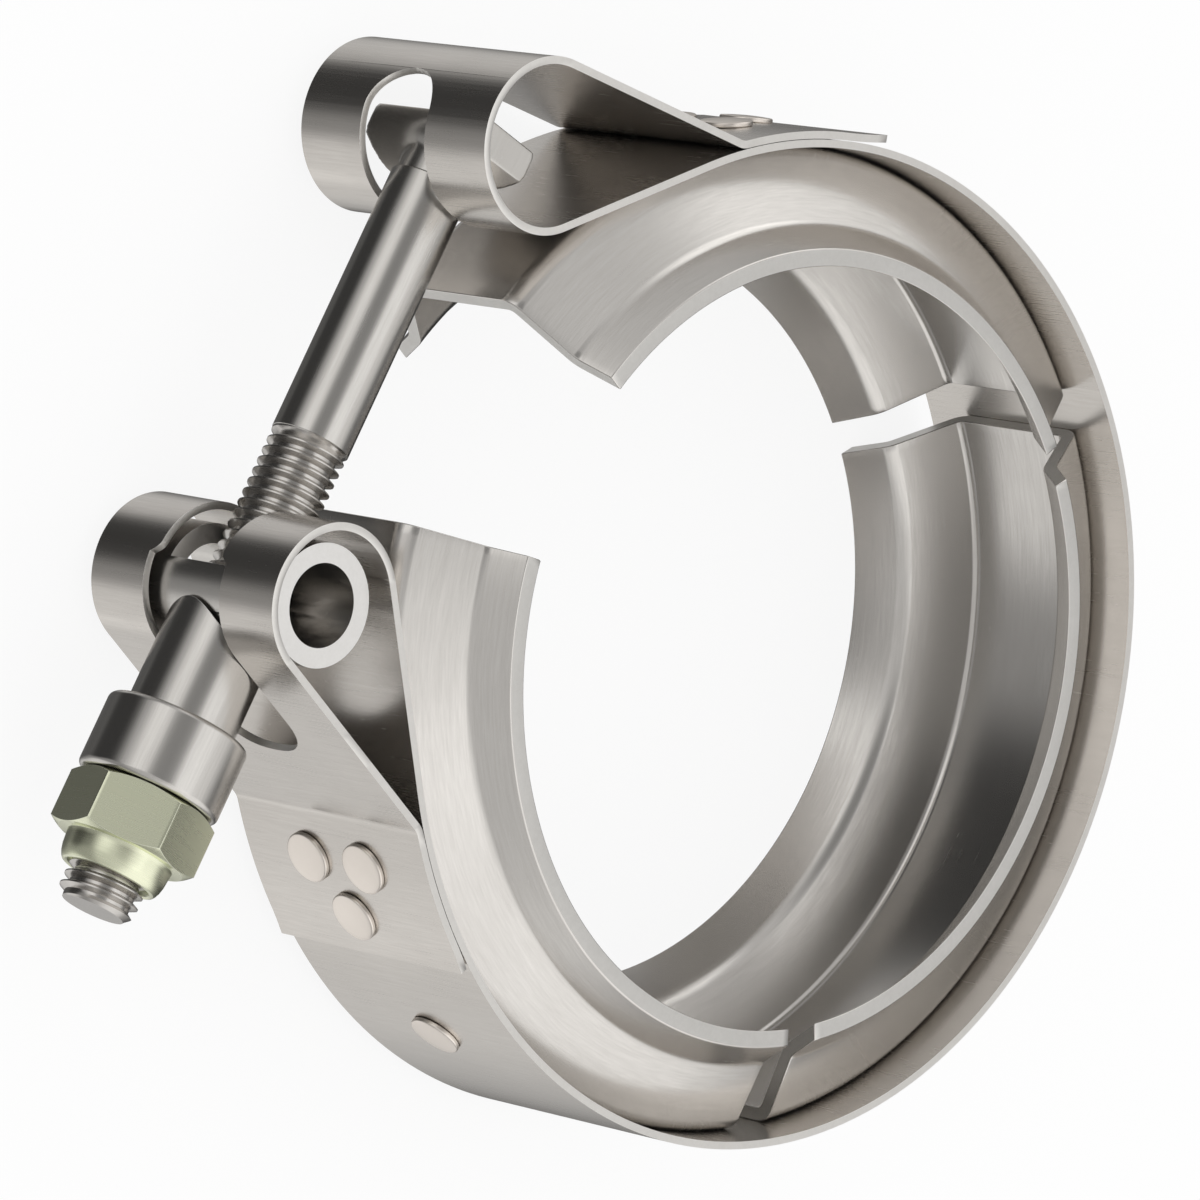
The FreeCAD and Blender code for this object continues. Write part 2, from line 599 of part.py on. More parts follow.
def make_rivet(label, angle, level, seat, seat_formula):
    """A rivet along the ring's radius: head outside, upset end under the retainer's crown."""
    body = new_body(label)
    sketch = new_sketch(body, label + "Profile", "XY_Plane")
    under = SIZES["band_inner_radius"] - SIZES["retainer_thickness"] - SIZES["rivet_tail_seat"]
    under_formula = "Sizes.band_inner_radius - Sizes.retainer_thickness - Sizes.rivet_tail_seat"
    tail = under - SIZES["rivet_tail_height"]
    tail_formula = under_formula + " - Sizes.rivet_tail_height"
    top = seat + SIZES["rivet_head_height"]
    top_formula = seat_formula + " + Sizes.rivet_head_height"
    shank = SIZES["rivet_shank_radius"]
    outline(sketch, (
        (tail, 0, tail_formula, None),
        (tail, SIZES["rivet_tail_radius"], tail_formula, "Sizes.rivet_tail_radius"),
        (under, SIZES["rivet_tail_radius"], under_formula, "Sizes.rivet_tail_radius"),
        (under, shank, under_formula, "Sizes.rivet_shank_radius"),
        (seat, shank, seat_formula, "Sizes.rivet_shank_radius"),
        (seat, SIZES["rivet_head_radius"], seat_formula, "Sizes.rivet_head_radius"),
        (top, SIZES["rivet_head_radius"], top_formula, "Sizes.rivet_head_radius"),
        (top, 0, top_formula, None),
    ))
    blank = revolve(body, label + "Blank", sketch, "H_Axis")
    rim = circle_edges(body.Shape, AXIS_X, [(top, SIZES["rivet_head_radius"])])
    round_edges(body, label + "Head", blank, rim, "Sizes.rivet_head_round")
    body.Placement = FreeCAD.Placement(VECTOR(0, 0, level), FreeCAD.Rotation(AXIS_Z, angle))
    return body


def make_trunnion():
    """The tubular trunnion: a bolt hole through it and an entry slot on the side of the T-head."""
    body = new_body("trunnion")
    sketch = new_sketch(body, "TubeSketch", "XY_Plane")
    circle(sketch, SIZES["trunnion_radius"], "Sizes.trunnion_radius")
    circle(sketch, SIZES["trunnion_bore_radius"], "Sizes.trunnion_bore_radius")
    pad(body, "Tube", sketch, "Sizes.trunnion_length")
    hole = new_sketch(body, "BoltHoleSketch", "YZ_Plane")
    radius = SIZES["shank_radius"] + SIZES["trunnion_hole_clearance"]
    circle(hole, radius, "Sizes.shank_radius + Sizes.trunnion_hole_clearance")
    slot_cut(body, "BoltHole", hole, "4 * Sizes.trunnion_radius")
    width = "2 * (Sizes.shank_radius + Sizes.trunnion_hole_clearance)"
    last = 180 + SIZES["trunnion_slot_angle"]
    sector(body, "EntrySlot", (180, "180"), (last, "180 + Sizes.trunnion_slot_angle"), width,
           "trunnion_radius")
    body.Placement = latch_placement
    return body


def make_t_bolt():
    """The T-bolt along X: a round cross-bar head with a flat top, a shank and the thread's crest."""
    body = new_body("t_bolt")
    sketch = new_sketch(body, "HeadSketch", "XY_Plane")
    radius = SIZES["head_radius"]
    flat = SIZES["head_flat"]
    half_chord = math.sqrt(radius ** 2 - flat ** 2)
    turn = math.atan2(half_chord, -flat)
    full = Part.Circle(VECTOR(0, 0, 0), AXIS_Z, radius)
    under = sketch.addGeometry(Part.ArcOfCircle(full, -turn, turn))
    first = VECTOR(-flat, half_chord, 0)
    top = sketch.addGeometry(Part.LineSegment(first, VECTOR(-flat, -half_chord, 0)))
    links = (
        ("Coincident", under, CENTRE, *ORIGIN_POINT),
        ("Coincident", under, END, top, START),
        ("Coincident", under, START, top, END),
        ("Vertical", top),
    )
    for link in links:
        sketch.addConstraint(Sketcher.Constraint(*link))
    bind(sketch, Sketcher.Constraint("Radius", under, radius), "Sizes.head_radius")
    level = Sketcher.Constraint("DistanceX", top, START, *ORIGIN_POINT, flat)
    bind(sketch, level, "Sizes.head_flat")
    bar = pad(body, "CrossBar", sketch, "Sizes.head_length")
    rim = circle_edges(body.Shape, AXIS_Z, [(SIZES["head_length"] / 2, radius),
                                            (-SIZES["head_length"] / 2, radius)])
    round_edges(body, "CrossBarRound", bar, rim, "Sizes.head_round")
    shaft = new_sketch(body, "ShaftProfile", "XY_Plane")
    run_out = SIZES["shank_length"] + SIZES["thread_run_out"]
    run_out_formula = "Sizes.shank_length + Sizes.thread_run_out"
    thread = SIZES["thread_radius"]
    chamfer = SIZES["bolt_chamfer"]
    end = SIZES["bolt_length"]
    outline(shaft, (
        (0, 0, None, None),
        (0, SIZES["shank_radius"], None, "Sizes.shank_radius"),
        (SIZES["shank_length"], SIZES["shank_radius"], "Sizes.shank_length", "Sizes.shank_radius"),
        (run_out, thread, run_out_formula, "Sizes.thread_radius"),
        (end - chamfer, thread, "Sizes.bolt_length - Sizes.bolt_chamfer", "Sizes.thread_radius"),
        (end, thread - chamfer, "Sizes.bolt_length", "Sizes.thread_radius - Sizes.bolt_chamfer"),
        (end, 0, "Sizes.bolt_length", None),
    ))
    revolve(body, "Shaft", shaft, "H_Axis")
    body.Placement = bolt_placement
    return body


def make_sleeve():
    """The saddle sleeve: a narrow part coped round the trunnion and a collar for the nut."""
    body = new_body("saddle_sleeve")
    sketch = new_sketch(body, "SleeveProfile", "XY_Plane")
    bore = SIZES["thread_radius"] + SIZES["sleeve_bore_clearance"]
    bore_formula = "Sizes.thread_radius + Sizes.sleeve_bore_clearance"
    start = SIZES["collar_start"]
    end = start + SIZES["collar_length"]
    end_formula = "Sizes.collar_start + Sizes.collar_length"
    collar = SIZES["collar_radius"]
    outline(sketch, (
        (0, bore, None, bore_formula),
        (0, SIZES["sleeve_radius"], None, "Sizes.sleeve_radius"),
        (start, SIZES["sleeve_radius"], "Sizes.collar_start", "Sizes.sleeve_radius"),
        (start, collar, "Sizes.collar_start", "Sizes.collar_radius"),
        (end, collar, end_formula, "Sizes.collar_radius"),
        (end, bore, end_formula, bore_formula),
    ))
    blank = revolve(body, "SleeveBlank", sketch, "H_Axis")
    rims = circle_edges(body.Shape, AXIS_X, [(start, collar), (end, collar)])
    round_edges(body, "CollarRound", blank, rims, "Sizes.collar_round")
    saddle = new_sketch(body, "SaddleSketch", "XY_Plane")
    radius = SIZES["trunnion_radius"] + SIZES["saddle_clearance"]
    circle(saddle, radius, "Sizes.trunnion_radius + Sizes.saddle_clearance")
    slot_cut(body, "Saddle", saddle, "4 * Sizes.sleeve_radius")
    body.Placement = latch_placement
    return body


def make_nut():
    """The lock nut: a chamfered hexagon with a round crimped crown."""
    body = new_body("lock_nut")
    sketch = new_sketch(body, "NutProfile", "XY_Plane")
    bore = SIZES["thread_radius"] + SIZES["nut_bore_clearance"]
    bore_formula = "Sizes.thread_radius + Sizes.nut_bore_clearance"
    start = SIZES["collar_start"] + SIZES["collar_length"] + SIZES["nut_gap"]
    start_formula = "Sizes.collar_start + Sizes.collar_length + Sizes.nut_gap"
    flat = SIZES["nut_across_flats"] / 2
    flat_formula = "Sizes.nut_across_flats / 2"
    corner = flat / math.cos(math.radians(30))
    corner_formula = "Sizes.nut_across_flats / 2 / cos(30 deg)"
    depth = SIZES["nut_chamfer_depth"]
    shoulder = start + SIZES["nut_hex_height"]
    shoulder_formula = start_formula + " + Sizes.nut_hex_height"
    end = shoulder + SIZES["nut_crown_height"]
    end_formula = shoulder_formula + " + Sizes.nut_crown_height"
    outline(sketch, (
        (start, bore, start_formula, bore_formula),
        (start, flat, start_formula, flat_formula),
        (start + depth, corner, start_formula + " + Sizes.nut_chamfer_depth", corner_formula),
        (shoulder - depth, corner, shoulder_formula + " - Sizes.nut_chamfer_depth", corner_formula),
        (shoulder, flat, shoulder_formula, flat_formula),
        (shoulder, SIZES["nut_crown_base"], shoulder_formula, "Sizes.nut_crown_base"),
        (end, SIZES["nut_crown_top"], end_formula, "Sizes.nut_crown_top"),
        (end, bore, end_formula, bore_formula),
    ))
    revolve(body, "NutBlank", sketch, "H_Axis")
    flats = new_sketch(body, "NutFlats", "YZ_Plane")
    circle(flats, 2 * corner, "2 * " + corner_formula)
    corners = []
    for index in range(HEX_CORNERS):
        turn = 360 * index / HEX_CORNERS
        spot = unit(turn) * corner
        x_formula = "%s * cos(%d deg)" % (corner_formula, turn)
        y_formula = "%s * sin(%d deg)" % (corner_formula, turn)
        if index % 3 == 0:
            y_formula = None
        corners.append((spot.x, spot.y, x_formula, y_formula))
    outline(flats, corners)
    slot_cut(body, "Hexagon", flats, "3 * (%s)" % end_formula)
    body.Placement = latch_placement
    return body


def rivet_bodies():
    """All seven rivets, each named after what it holds."""
    spread = SIZES["rivet_pair_spread"]
    rows = (
        ("rivet_trunnion_tab_1", "trunnion_pair_angle", spread),
        ("rivet_trunnion_tab_2", "trunnion_pair_angle", -spread),
        ("rivet_trunnion_tab_3", "trunnion_single_angle", 0),
        ("rivet_t_bolt_tab_1", "t_bolt_pair_angle", spread),
        ("rivet_t_bolt_tab_2", "t_bolt_pair_angle", -spread),
        ("rivet_t_bolt_tab_3", "t_bolt_single_angle", 0),
    )
    made = []
    for label, angle_name, level in rows:
        made.append(make_rivet(label, SIZES[angle_name], level, TAB_SEAT, TAB_SEAT_FORMULA))
    made.append(make_rivet("rivet_retainer_lower", SIZES["ring_rivet_angle"], 0,
                           RING_SEAT, RING_SEAT_FORMULA))
    return made


def retainer_turn(index):
    """Ring angle of a retainer's middle: each follows the last with a gap, the mouth stays open."""
    open_angle = 360 - len(RETAINERS) * SIZES["retainer_arc"]
    pitch = SIZES["retainer_arc"] + open_angle * SIZES["retainer_gap_share"]
    open_formula = "(360 - %d * Sizes.retainer_arc)" % len(RETAINERS)
    pitch_formula = "(Sizes.retainer_arc + %s * Sizes.retainer_gap_share)" % open_formula
    turn = SIZES["upper_retainer_angle"] - index * pitch
    return turn, "Sizes.upper_retainer_angle - %d * %s" % (index, pitch_formula)


def retainer_bodies():
    """The three retainers round the ring, from the T-bolt's side of the mouth to the other."""
    made = []
    for index, label in enumerate(RETAINERS):
        turn, turn_formula = retainer_turn(index)
        rows = [row for row in RIVET_ROWS if label.endswith(row[3])]
        made.append(make_retainer(label, turn, turn_formula, rows))
    return made


def check_document():
    for item in doc.Objects:
        if "Invalid" in item.State or "Error" in item.State:
            raise RuntimeError(item.Label + " did not build")


def write_parts(bodies):
    os.makedirs("parts", exist_ok=True)
    for body in bodies:
        shape = body.Shape
        if shape.isNull() or not shape.isValid() or len(shape.Solids) != 1:
            raise RuntimeError(body.Label + " is not one sound solid")
        shape.exportStep("parts/%s.step" % body.Label)
        box = shape.BoundBox
        print("%-22s %9.2f mm3  %s" % (body.Label, shape.Volume, box))


bodies = [make_band()]
bodies += retainer_bodies()
bodies += rivet_bodies()
bodies += [make_t_bolt(), make_trunnion(), make_sleeve(), make_nut()]
doc.recompute()
check_document()
write_parts(bodies)
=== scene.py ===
"""Looks of a V band clamp with a T-bolt latch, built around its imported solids.

Lengths in the dataclasses are millimetres and angles are degrees, in the frame of the solids:
Z is the ring axis, X and Y lie in the ring plane and the latch is on the -Y side.
"""
import logging
import math
from dataclasses import dataclass
from enum import Enum
from typing import Callable, Dict, List, Optional, Sequence, Tuple

import bmesh
import bpy
from mathutils import Matrix, Vector


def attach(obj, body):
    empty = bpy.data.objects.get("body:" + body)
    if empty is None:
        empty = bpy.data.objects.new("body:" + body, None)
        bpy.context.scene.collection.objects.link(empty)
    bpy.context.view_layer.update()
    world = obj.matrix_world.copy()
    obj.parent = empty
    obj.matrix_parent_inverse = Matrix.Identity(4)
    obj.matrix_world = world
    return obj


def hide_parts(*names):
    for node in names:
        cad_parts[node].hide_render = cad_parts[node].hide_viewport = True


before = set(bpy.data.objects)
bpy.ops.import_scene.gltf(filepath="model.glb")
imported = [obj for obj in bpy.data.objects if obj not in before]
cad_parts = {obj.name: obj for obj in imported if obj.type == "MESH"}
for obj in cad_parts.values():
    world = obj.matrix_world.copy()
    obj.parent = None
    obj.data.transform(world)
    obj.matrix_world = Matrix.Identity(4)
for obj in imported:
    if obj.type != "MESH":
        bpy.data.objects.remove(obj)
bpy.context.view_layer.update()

MM = 0.001
FULL_TURN = 360.0
LOG = logging.getLogger("v_band_clamp")

ROUND_SEGMENTS = 2
NORMAL_WEIGHT = 80

Triple = Tuple[float, float, float]
Spot = Tuple[float, float]
Row = Callable[[float], Spot]
Piece = bpy.types.Object
Socket = bpy.types.NodeSocket


class Facing(Enum):
    """Material slot of a piece: its rolled or turned faces, or its cut edges."""

    FACE = 0
    EDGE = 1


class Grain(Enum):
    """How a finish's brushing is stretched along the object's axes."""

    ROUND_THE_RING = (0.5, 0.5, 14.0)
    ALONG_Z = (14.0, 14.0, 0.5)
    ALONG_X = (0.5, 14.0, 14.0)
    ROUND_X = (14.0, 0.5, 0.5)
    EVEN = (4.0, 4.0, 4.0)


class Body(Enum):
    """Moving bodies of the clamp."""

    RING = "ring"
    BOLT = "t_bolt"
    TRUNNION = "trunnion"
    SLEEVE = "saddle_sleeve"
    NUT = "lock_nut"


def unit(angle: float) -> Vector:
    """Direction of an angle in the ring plane."""
    turn = math.radians(angle)
    return Vector((math.cos(turn), math.sin(turn), 0.0))


def steps_between(first: float, last: float, step: float) -> List[float]:
    """Evenly spaced values from first to last, no further apart than the step."""
    count = max(1, math.ceil(abs(last - first) / step))
    return [first + (last - first) * index / count for index in range(count + 1)]


def rounded_outline(corners: Sequence[Tuple[Spot, float]], step: float) -> List[Spot]:
    """Rounds the corners of a closed outline.

    Args:
        corners: Each corner and the radius of its bend, 0 for a sharp one.
        step: Angle between the points of a bend.

    Returns:
        The outline's points, in order.
    """
    points: List[Spot] = []
    count = len(corners)
    for index, (corner, radius) in enumerate(corners):
        here = Vector(corner)
        if radius <= 0.0:
            points.append(corner)
            continue
        back = (Vector(corners[index - 1][0]) - here).normalized()
        ahead = (Vector(corners[(index + 1) % count][0]) - here).normalized()
        half = back.angle(ahead) / 2
        centre = here + (back + ahead).normalized() * (radius / math.sin(half))
        start = here + back * (radius / math.tan(half)) - centre
        sweep = math.degrees(math.pi - 2 * half)
        side = math.copysign(1.0, back.x * ahead.y - back.y * ahead.x)
        for turn in steps_between(0.0, sweep, step):
            arm = Matrix.Rotation(math.radians(-side * turn), 2) @ start
            points.append((centre.x + arm.x, centre.y + arm.y))
    return points


class NodeWiring:
    """Short calls for adding and joining the nodes of any tree."""

    def __init__(self, tree: bpy.types.NodeTree) -> None:
        """Keeps the tree that the calls add to."""
        self.tree = tree

    def wire(self, source: object, socket: Socket) -> None:
        """Links an output to a socket, or sets the socket's plain value.

        Args:
            source: The output or the value.
            socket: The input that takes it.
        """
        if isinstance(source, Socket):
            self.tree.links.new(source, socket)
        else:
            socket.default_value = source

    def node(self, kind: str, sources: Optional[Dict[object, object]] = None,
             **settings: object) -> bpy.types.Node:
        """Adds a node, sets its properties and then fills its inputs.

        Args:
            kind: The node's type name.
            sources: An output or a plain value for each input, by name or number.
            **settings: Property names and values.

        Returns:
            The new node.
        """
        made = self.tree.nodes.new(kind)
        for name, value in settings.items():
            setattr(made, name, value)
        for label, source in (sources or {}).items():
            self.wire(source, made.inputs[label])
        return made

    def math(self, operation: str, *terms: object, clamp: bool = False) -> Socket:
        """Adds a Math node.

        Args:
            operation: The node's operation.
            *terms: Its numbers or outputs.
            clamp: Whether the result is kept from 0 to 1.

        Returns:
            The result.
        """
        made = self.node("ShaderNodeMath", dict(enumerate(terms)), operation=operation,
                         use_clamp=clamp)
        return made.outputs[0]

    def total(self, *terms: object) -> Socket:
        """Adds up two or more numbers.

        Args:
            *terms: The numbers or outputs.

        Returns:
            Their sum.
        """
        result = terms[0]
        for term in terms[1:]:
            result = self.math("ADD", result, term)
        return result

    def split(self, vector: object) -> bpy.types.NodeOutputs:
        """The three parts of a vector."""
        return self.node("ShaderNodeSeparateXYZ", {0: vector}).outputs

    def vector(self, *parts: object) -> Socket:
        """A vector from its three parts."""
        return self.node("ShaderNodeCombineXYZ", dict(enumerate(parts))).outputs[0]


class ShaderTree(NodeWiring):
    """Calls for the nodes of a material, a world or a shader group."""

    @classmethod
    def emptied(cls, holder: bpy.types.ID) -> "ShaderTree":
        """Turns on the nodes of a material or world and starts them empty.

        Args:
            holder: The material or world.

        Returns:
            The calls for its nodes.
        """
        holder.use_nodes = True
        holder.node_tree.nodes.clear()
        return cls(holder.node_tree)

    def ramp(self, source: object, low: float, high: float, to_low: float,
             to_high: float) -> Socket:
        """Maps one range of numbers smoothly to another."""
        terms = dict(enumerate((source, low, high, to_low, to_high)))
        return self.node("ShaderNodeMapRange", terms, interpolation_type="SMOOTHSTEP").outputs[0]

    def noise(self, vector: object, scale: float, detail: float,
              roughness: float = 0.5) -> Socket:
        """Adds a noise texture and returns its value."""
        sources = {"Vector": vector, "Scale": scale, "Detail": detail, "Roughness": roughness}
        return self.node("ShaderNodeTexNoise", sources).outputs[0]

    def stretch(self, vector: object, factors: Sequence[float],
                turn: Sequence[float] = (0.0, 0.0, 0.0)) -> Socket:
        """Turns and then stretches coordinates before a texture reads them."""
        turned = self.node("ShaderNodeMapping", {"Vector": vector, "Rotation": turn}).outputs[0]
        return self.node("ShaderNodeMapping", {"Vector": turned, "Scale": factors}).outputs[0]

    def blend(self, share: object, first: object, second: object) -> Socket:
        """Mixes two colours."""
        sources = {"Factor": share, "A": first, "B": second}
        return self.node("ShaderNodeMix", sources, data_type="RGBA").outputs["Result"]

    def shader_blend(self, share: object, first: object, second: object) -> Socket:
        """Mixes two shaders."""
        terms = dict(enumerate((share, first, second)))
        return self.node("ShaderNodeMixShader", terms).outputs[0]


def baked(piece: Piece) -> Piece:
    """Turns what the piece's modifiers show into its plain mesh.

    Args:
        piece: The object with modifiers.

    Returns:
        The same object with no modifiers.
    """
    depsgraph = bpy.context.evaluated_depsgraph_get()
    mesh = bpy.data.meshes.new_from_object(piece.evaluated_get(depsgraph))
    piece.modifiers.clear()
    piece.data = mesh
    return piece


class GeometryTree(NodeWiring):
    """A Geometry Nodes tree with named inputs, run once on a piece and then baked."""

    def __init__(self, name: str, inputs: Dict[str, str]) -> None:
        """Makes the tree and its sockets.

        Args:
            name: The tree's name.
            inputs: Name and kind of each input after the geometry.
        """
        group = bpy.data.node_groups.new(name, "GeometryNodeTree")
        for label, kind in {"Geometry": "Geometry", **inputs}.items():
            group.interface.new_socket(label, in_out="INPUT", socket_type="NodeSocket" + kind)
        group.interface.new_socket("Geometry", in_out="OUTPUT", socket_type="NodeSocketGeometry")
        super().__init__(group)
        self.given = self.node("NodeGroupInput").outputs
        self.result = self.node("NodeGroupOutput").inputs["Geometry"]

    def painted(self, geometry: object, material: object,
                selection: object = True) -> Socket:
        """Gives the geometry, or the selected faces of it, a material."""
        sources = {"Geometry": geometry, "Material": material, "Selection": selection}
        return self.node("GeometryNodeSetMaterial", sources).outputs[0]

    def joined(self, *parts: Socket) -> Socket:
        """Joins geometries in the order given.

        Args:
            *parts: The geometries.

        Returns:
            The joined geometry.
        """
        made = self.node("GeometryNodeJoinGeometry")
        for part in reversed(parts):
            self.wire(part, made.inputs[0])
        return made.outputs[0]

    def merged(self, geometry: object, distance: float = 0.004) -> Socket:
        """Makes vertices nearer than the distance one."""
        sources = {"Geometry": geometry, "Distance": distance * MM}
        return self.node("GeometryNodeMergeByDistance", sources).outputs[0]

    def moved(self, geometry: object, position: object) -> Socket:
        """Puts every vertex at its worked-out position."""
        sources = {"Geometry": geometry, "Position": position}
        return self.node("GeometryNodeSetPosition", sources).outputs[0]

    def ring_turn(self, angle: object) -> Socket:
        """A turn about the ring axis, from its angle in radians."""
        euler = self.vector(0.0, 0.0, angle)
        return self.node("FunctionNodeEulerToRotation", {0: euler}).outputs[0]

    def finish(self, geometry: object) -> None:
        """Realizes instances and ends the tree."""
        made = self.node("GeometryNodeRealizeInstances", {0: geometry})
        self.wire(made.outputs[0], self.result)

    def run(self, piece: Piece, values: Dict[str, object]) -> Piece:
        """Runs the tree on a piece and keeps the result as its mesh.

        Args:
            piece: The object that the tree works on.
            values: Value of each named input.

        Returns:
            The same object.
        """
        modifier = piece.modifiers.new(self.tree.name, "NODES")
        modifier.node_group = self.tree
        for item in self.tree.interface.items_tree:
            if item.in_out == "INPUT" and item.name in values:
                modifier[item.identifier] = values[item.name]
        return baked(piece)


class GrainGroup:
    """Shader group shared by all metal finishes: brushed lines, cloudy tone and fine scratches."""

    NAME = "brushed_grain"
    INPUTS: Tuple[Tuple[str, str, object], ...] = (
        ("Vector", "Vector", (0.0, 0.0, 0.0)),
        ("Light Tone", "Color", (0.7, 0.7, 0.7, 1.0)),
        ("Dark Tone", "Color", (0.5, 0.5, 0.5, 1.0)),
        ("Line Strength", "Float", 0.5),
        ("Cloud Strength", "Float", 0.5),
        ("Base Roughness", "Float", 0.3),
        ("Roughness Spread", "Float", 0.1),
    )
    OUTPUTS: Dict[str, str] = {"Color": "Color", "Roughness": "Float", "Height": "Float"}
    LINE_SCALE = 300.0
    FINE_SCALE = 1000.0
    FINE_SHARE = 0.45
    CLOUD_SCALE = 110.0
    SCRATCH_SCALE = 420.0
    SCRATCH_STRETCH = (1.0, 14.0, 14.0)
    SCRATCH_TURN = (0.0, 0.6, 0.9)
    SCRATCH_RANGE = (0.7, 0.78)
    SCRATCH_TONE = 0.12

    @classmethod
    def get(cls) -> bpy.types.NodeTree:
        """The group, made on first use."""
        return bpy.data.node_groups.get(cls.NAME) or cls.build()

    @classmethod
    def build(cls) -> bpy.types.NodeTree:
        """Builds the group.

        Returns:
            The new node tree.
        """
        group = bpy.data.node_groups.new(cls.NAME, "ShaderNodeTree")
        for name, kind, default in cls.INPUTS:
            socket = group.interface.new_socket(name, in_out="INPUT",
                                                socket_type="NodeSocket" + kind)
            socket.default_value = default
        for name, kind in cls.OUTPUTS.items():
            group.interface.new_socket(name, in_out="OUTPUT", socket_type="NodeSocket" + kind)
        tree = ShaderTree(group)
        given = tree.node("NodeGroupInput").outputs
        result = tree.node("NodeGroupOutput").inputs
        lines = tree.noise(given["Vector"], cls.LINE_SCALE, 3.0, 0.6)
        fine = tree.noise(given["Vector"], cls.FINE_SCALE, 2.0)
        coords = tree.node("ShaderNodeTexCoord").outputs["Object"]
        cloud = tree.noise(coords, cls.CLOUD_SCALE, 3.0, 0.55)
        slanted = tree.stretch(coords, cls.SCRATCH_STRETCH, cls.SCRATCH_TURN)
        marks = tree.noise(slanted, cls.SCRATCH_SCALE, 1.0)
        scratches = tree.ramp(marks, *cls.SCRATCH_RANGE, 0.0, cls.SCRATCH_TONE)
        broad = tree.math("MULTIPLY", lines, 1.0 - cls.FINE_SHARE)
        both = tree.math("MULTIPLY_ADD", fine, cls.FINE_SHARE, broad)
        line_part = tree.math("MULTIPLY", tree.math("SUBTRACT", both, 0.5), given["Line Strength"])
        cloud_part = tree.math("MULTIPLY", tree.math("SUBTRACT", cloud, 0.5),
                               given["Cloud Strength"])
        tone = tree.math("ADD", tree.total(line_part, cloud_part, scratches), 0.5, clamp=True)
        tree.wire(tree.blend(tone, given["Dark Tone"], given["Light Tone"]), result["Color"])
        spread = tree.math("MULTIPLY", tree.math("SUBTRACT", tone, 0.5),
                           given["Roughness Spread"])
        rough = tree.math("SUBTRACT", given["Base Roughness"], spread, clamp=True)
        tree.wire(rough, result["Roughness"])
        tree.wire(both, result["Height"])
        return group


@dataclass(frozen=True)
class MetalFinish:
    """One metal finish: its tones, gloss and brushing."""

    RELIEF_DEPTH = 0.02

    name: str
    light: Triple
    dark: Triple
    roughness: float
    spread: float = 0.12
    lines: float = 0.9
    clouds: float = 0.5
    relief: float = 0.14
    grain: Grain = Grain.EVEN
    turn: float = 0.0

    def material(self) -> bpy.types.Material:
        """The finish as a material, made on first use.

        Returns:
            The material.
        """
        found = bpy.data.materials.get(self.name)
        if found:
            return found
        material = bpy.data.materials.new(self.name)
        tree = ShaderTree.emptied(material)
        source = tree.node("ShaderNodeTexCoord").outputs["Object"]
        vector = tree.stretch(source, self.grain.value, (0.0, 0.0, math.radians(-self.turn)))
        group = tree.node("ShaderNodeGroup", {
            "Vector": vector,
            "Light Tone": (*self.light, 1.0),
            "Dark Tone": (*self.dark, 1.0),
            "Line Strength": self.lines,
            "Cloud Strength": self.clouds,
            "Base Roughness": self.roughness,
            "Roughness Spread": self.spread,
        }, node_tree=GrainGroup.get()).outputs
        bump = tree.node("ShaderNodeBump", {"Height": group["Height"], "Strength": self.relief,
                                            "Distance": self.RELIEF_DEPTH * MM})
        shader = tree.node("ShaderNodeBsdfPrincipled", {
            "Metallic": 1.0, "Base Color": group["Color"], "Roughness": group["Roughness"],
            "Normal": bump.outputs["Normal"]})
        tree.node("ShaderNodeOutputMaterial", {"Surface": shader.outputs["BSDF"]})
        return material


BOLT_TURN = -33.584
STRIP_FACE = MetalFinish("strip_face", (0.72, 0.69, 0.655), (0.56, 0.535, 0.505), 0.26,
                         grain=Grain.ALONG_Z)
STRIP_EDGE = MetalFinish("strip_edge", (0.84, 0.825, 0.8), (0.68, 0.665, 0.64), 0.36)
RETAINER_FACE = MetalFinish("retainer_face", (0.76, 0.74, 0.715), (0.6, 0.58, 0.555), 0.24,
                            lines=1.3, grain=Grain.ROUND_THE_RING)
RETAINER_EDGE = MetalFinish("retainer_edge", (0.73, 0.72, 0.7), (0.6, 0.59, 0.57), 0.38)
BOLT_FACE = MetalFinish("bolt_face", (0.7, 0.68, 0.655), (0.56, 0.545, 0.52), 0.25,
                        grain=Grain.ALONG_X, turn=BOLT_TURN)
BOLT_EDGE = MetalFinish("bolt_edge", (0.92, 0.91, 0.9), (0.78, 0.77, 0.75), 0.3)
THREAD_FACE = MetalFinish("thread_face", (0.72, 0.7, 0.67), (0.52, 0.5, 0.48), 0.24, lines=0.4)
RIVET_FACE = MetalFinish("rivet_face", (0.92, 0.86, 0.8), (0.8, 0.74, 0.68), 0.34, lines=0.3)
NUT_FACE = MetalFinish("nut_face", (0.88, 0.9, 0.7), (0.74, 0.77, 0.57), 0.28,
                       grain=Grain.ROUND_X, turn=BOLT_TURN)
NUT_EDGE = MetalFinish("nut_edge", (0.95, 0.97, 0.82), (0.84, 0.87, 0.7), 0.3)


def linked(name: str, mesh: bpy.types.Mesh) -> Piece:
    """A new object of the scene that holds the mesh.

    Args:
        name: The object's name.
        mesh: Its mesh.

    Returns:
        The object.
    """
    piece = bpy.data.objects.new(name, mesh)
    bpy.context.scene.collection.objects.link(piece)
    return piece


def dressed(piece: Piece, finishes: Sequence[MetalFinish]) -> Piece:
    """Gives a piece its finishes in slot order.

    Args:
        piece: The object.
        finishes: Finish of each material slot.

    Returns:
        The same object.
    """
    piece.data.materials.clear()
    for finish in finishes:
        piece.data.materials.append(finish.material())
    return piece


def fixed_rows(profile: Sequence[Spot]) -> List[Row]:
    """Rows of a turned shape that stay the same all the way round."""
    return [lambda turn, spot=spot: spot for spot in profile]


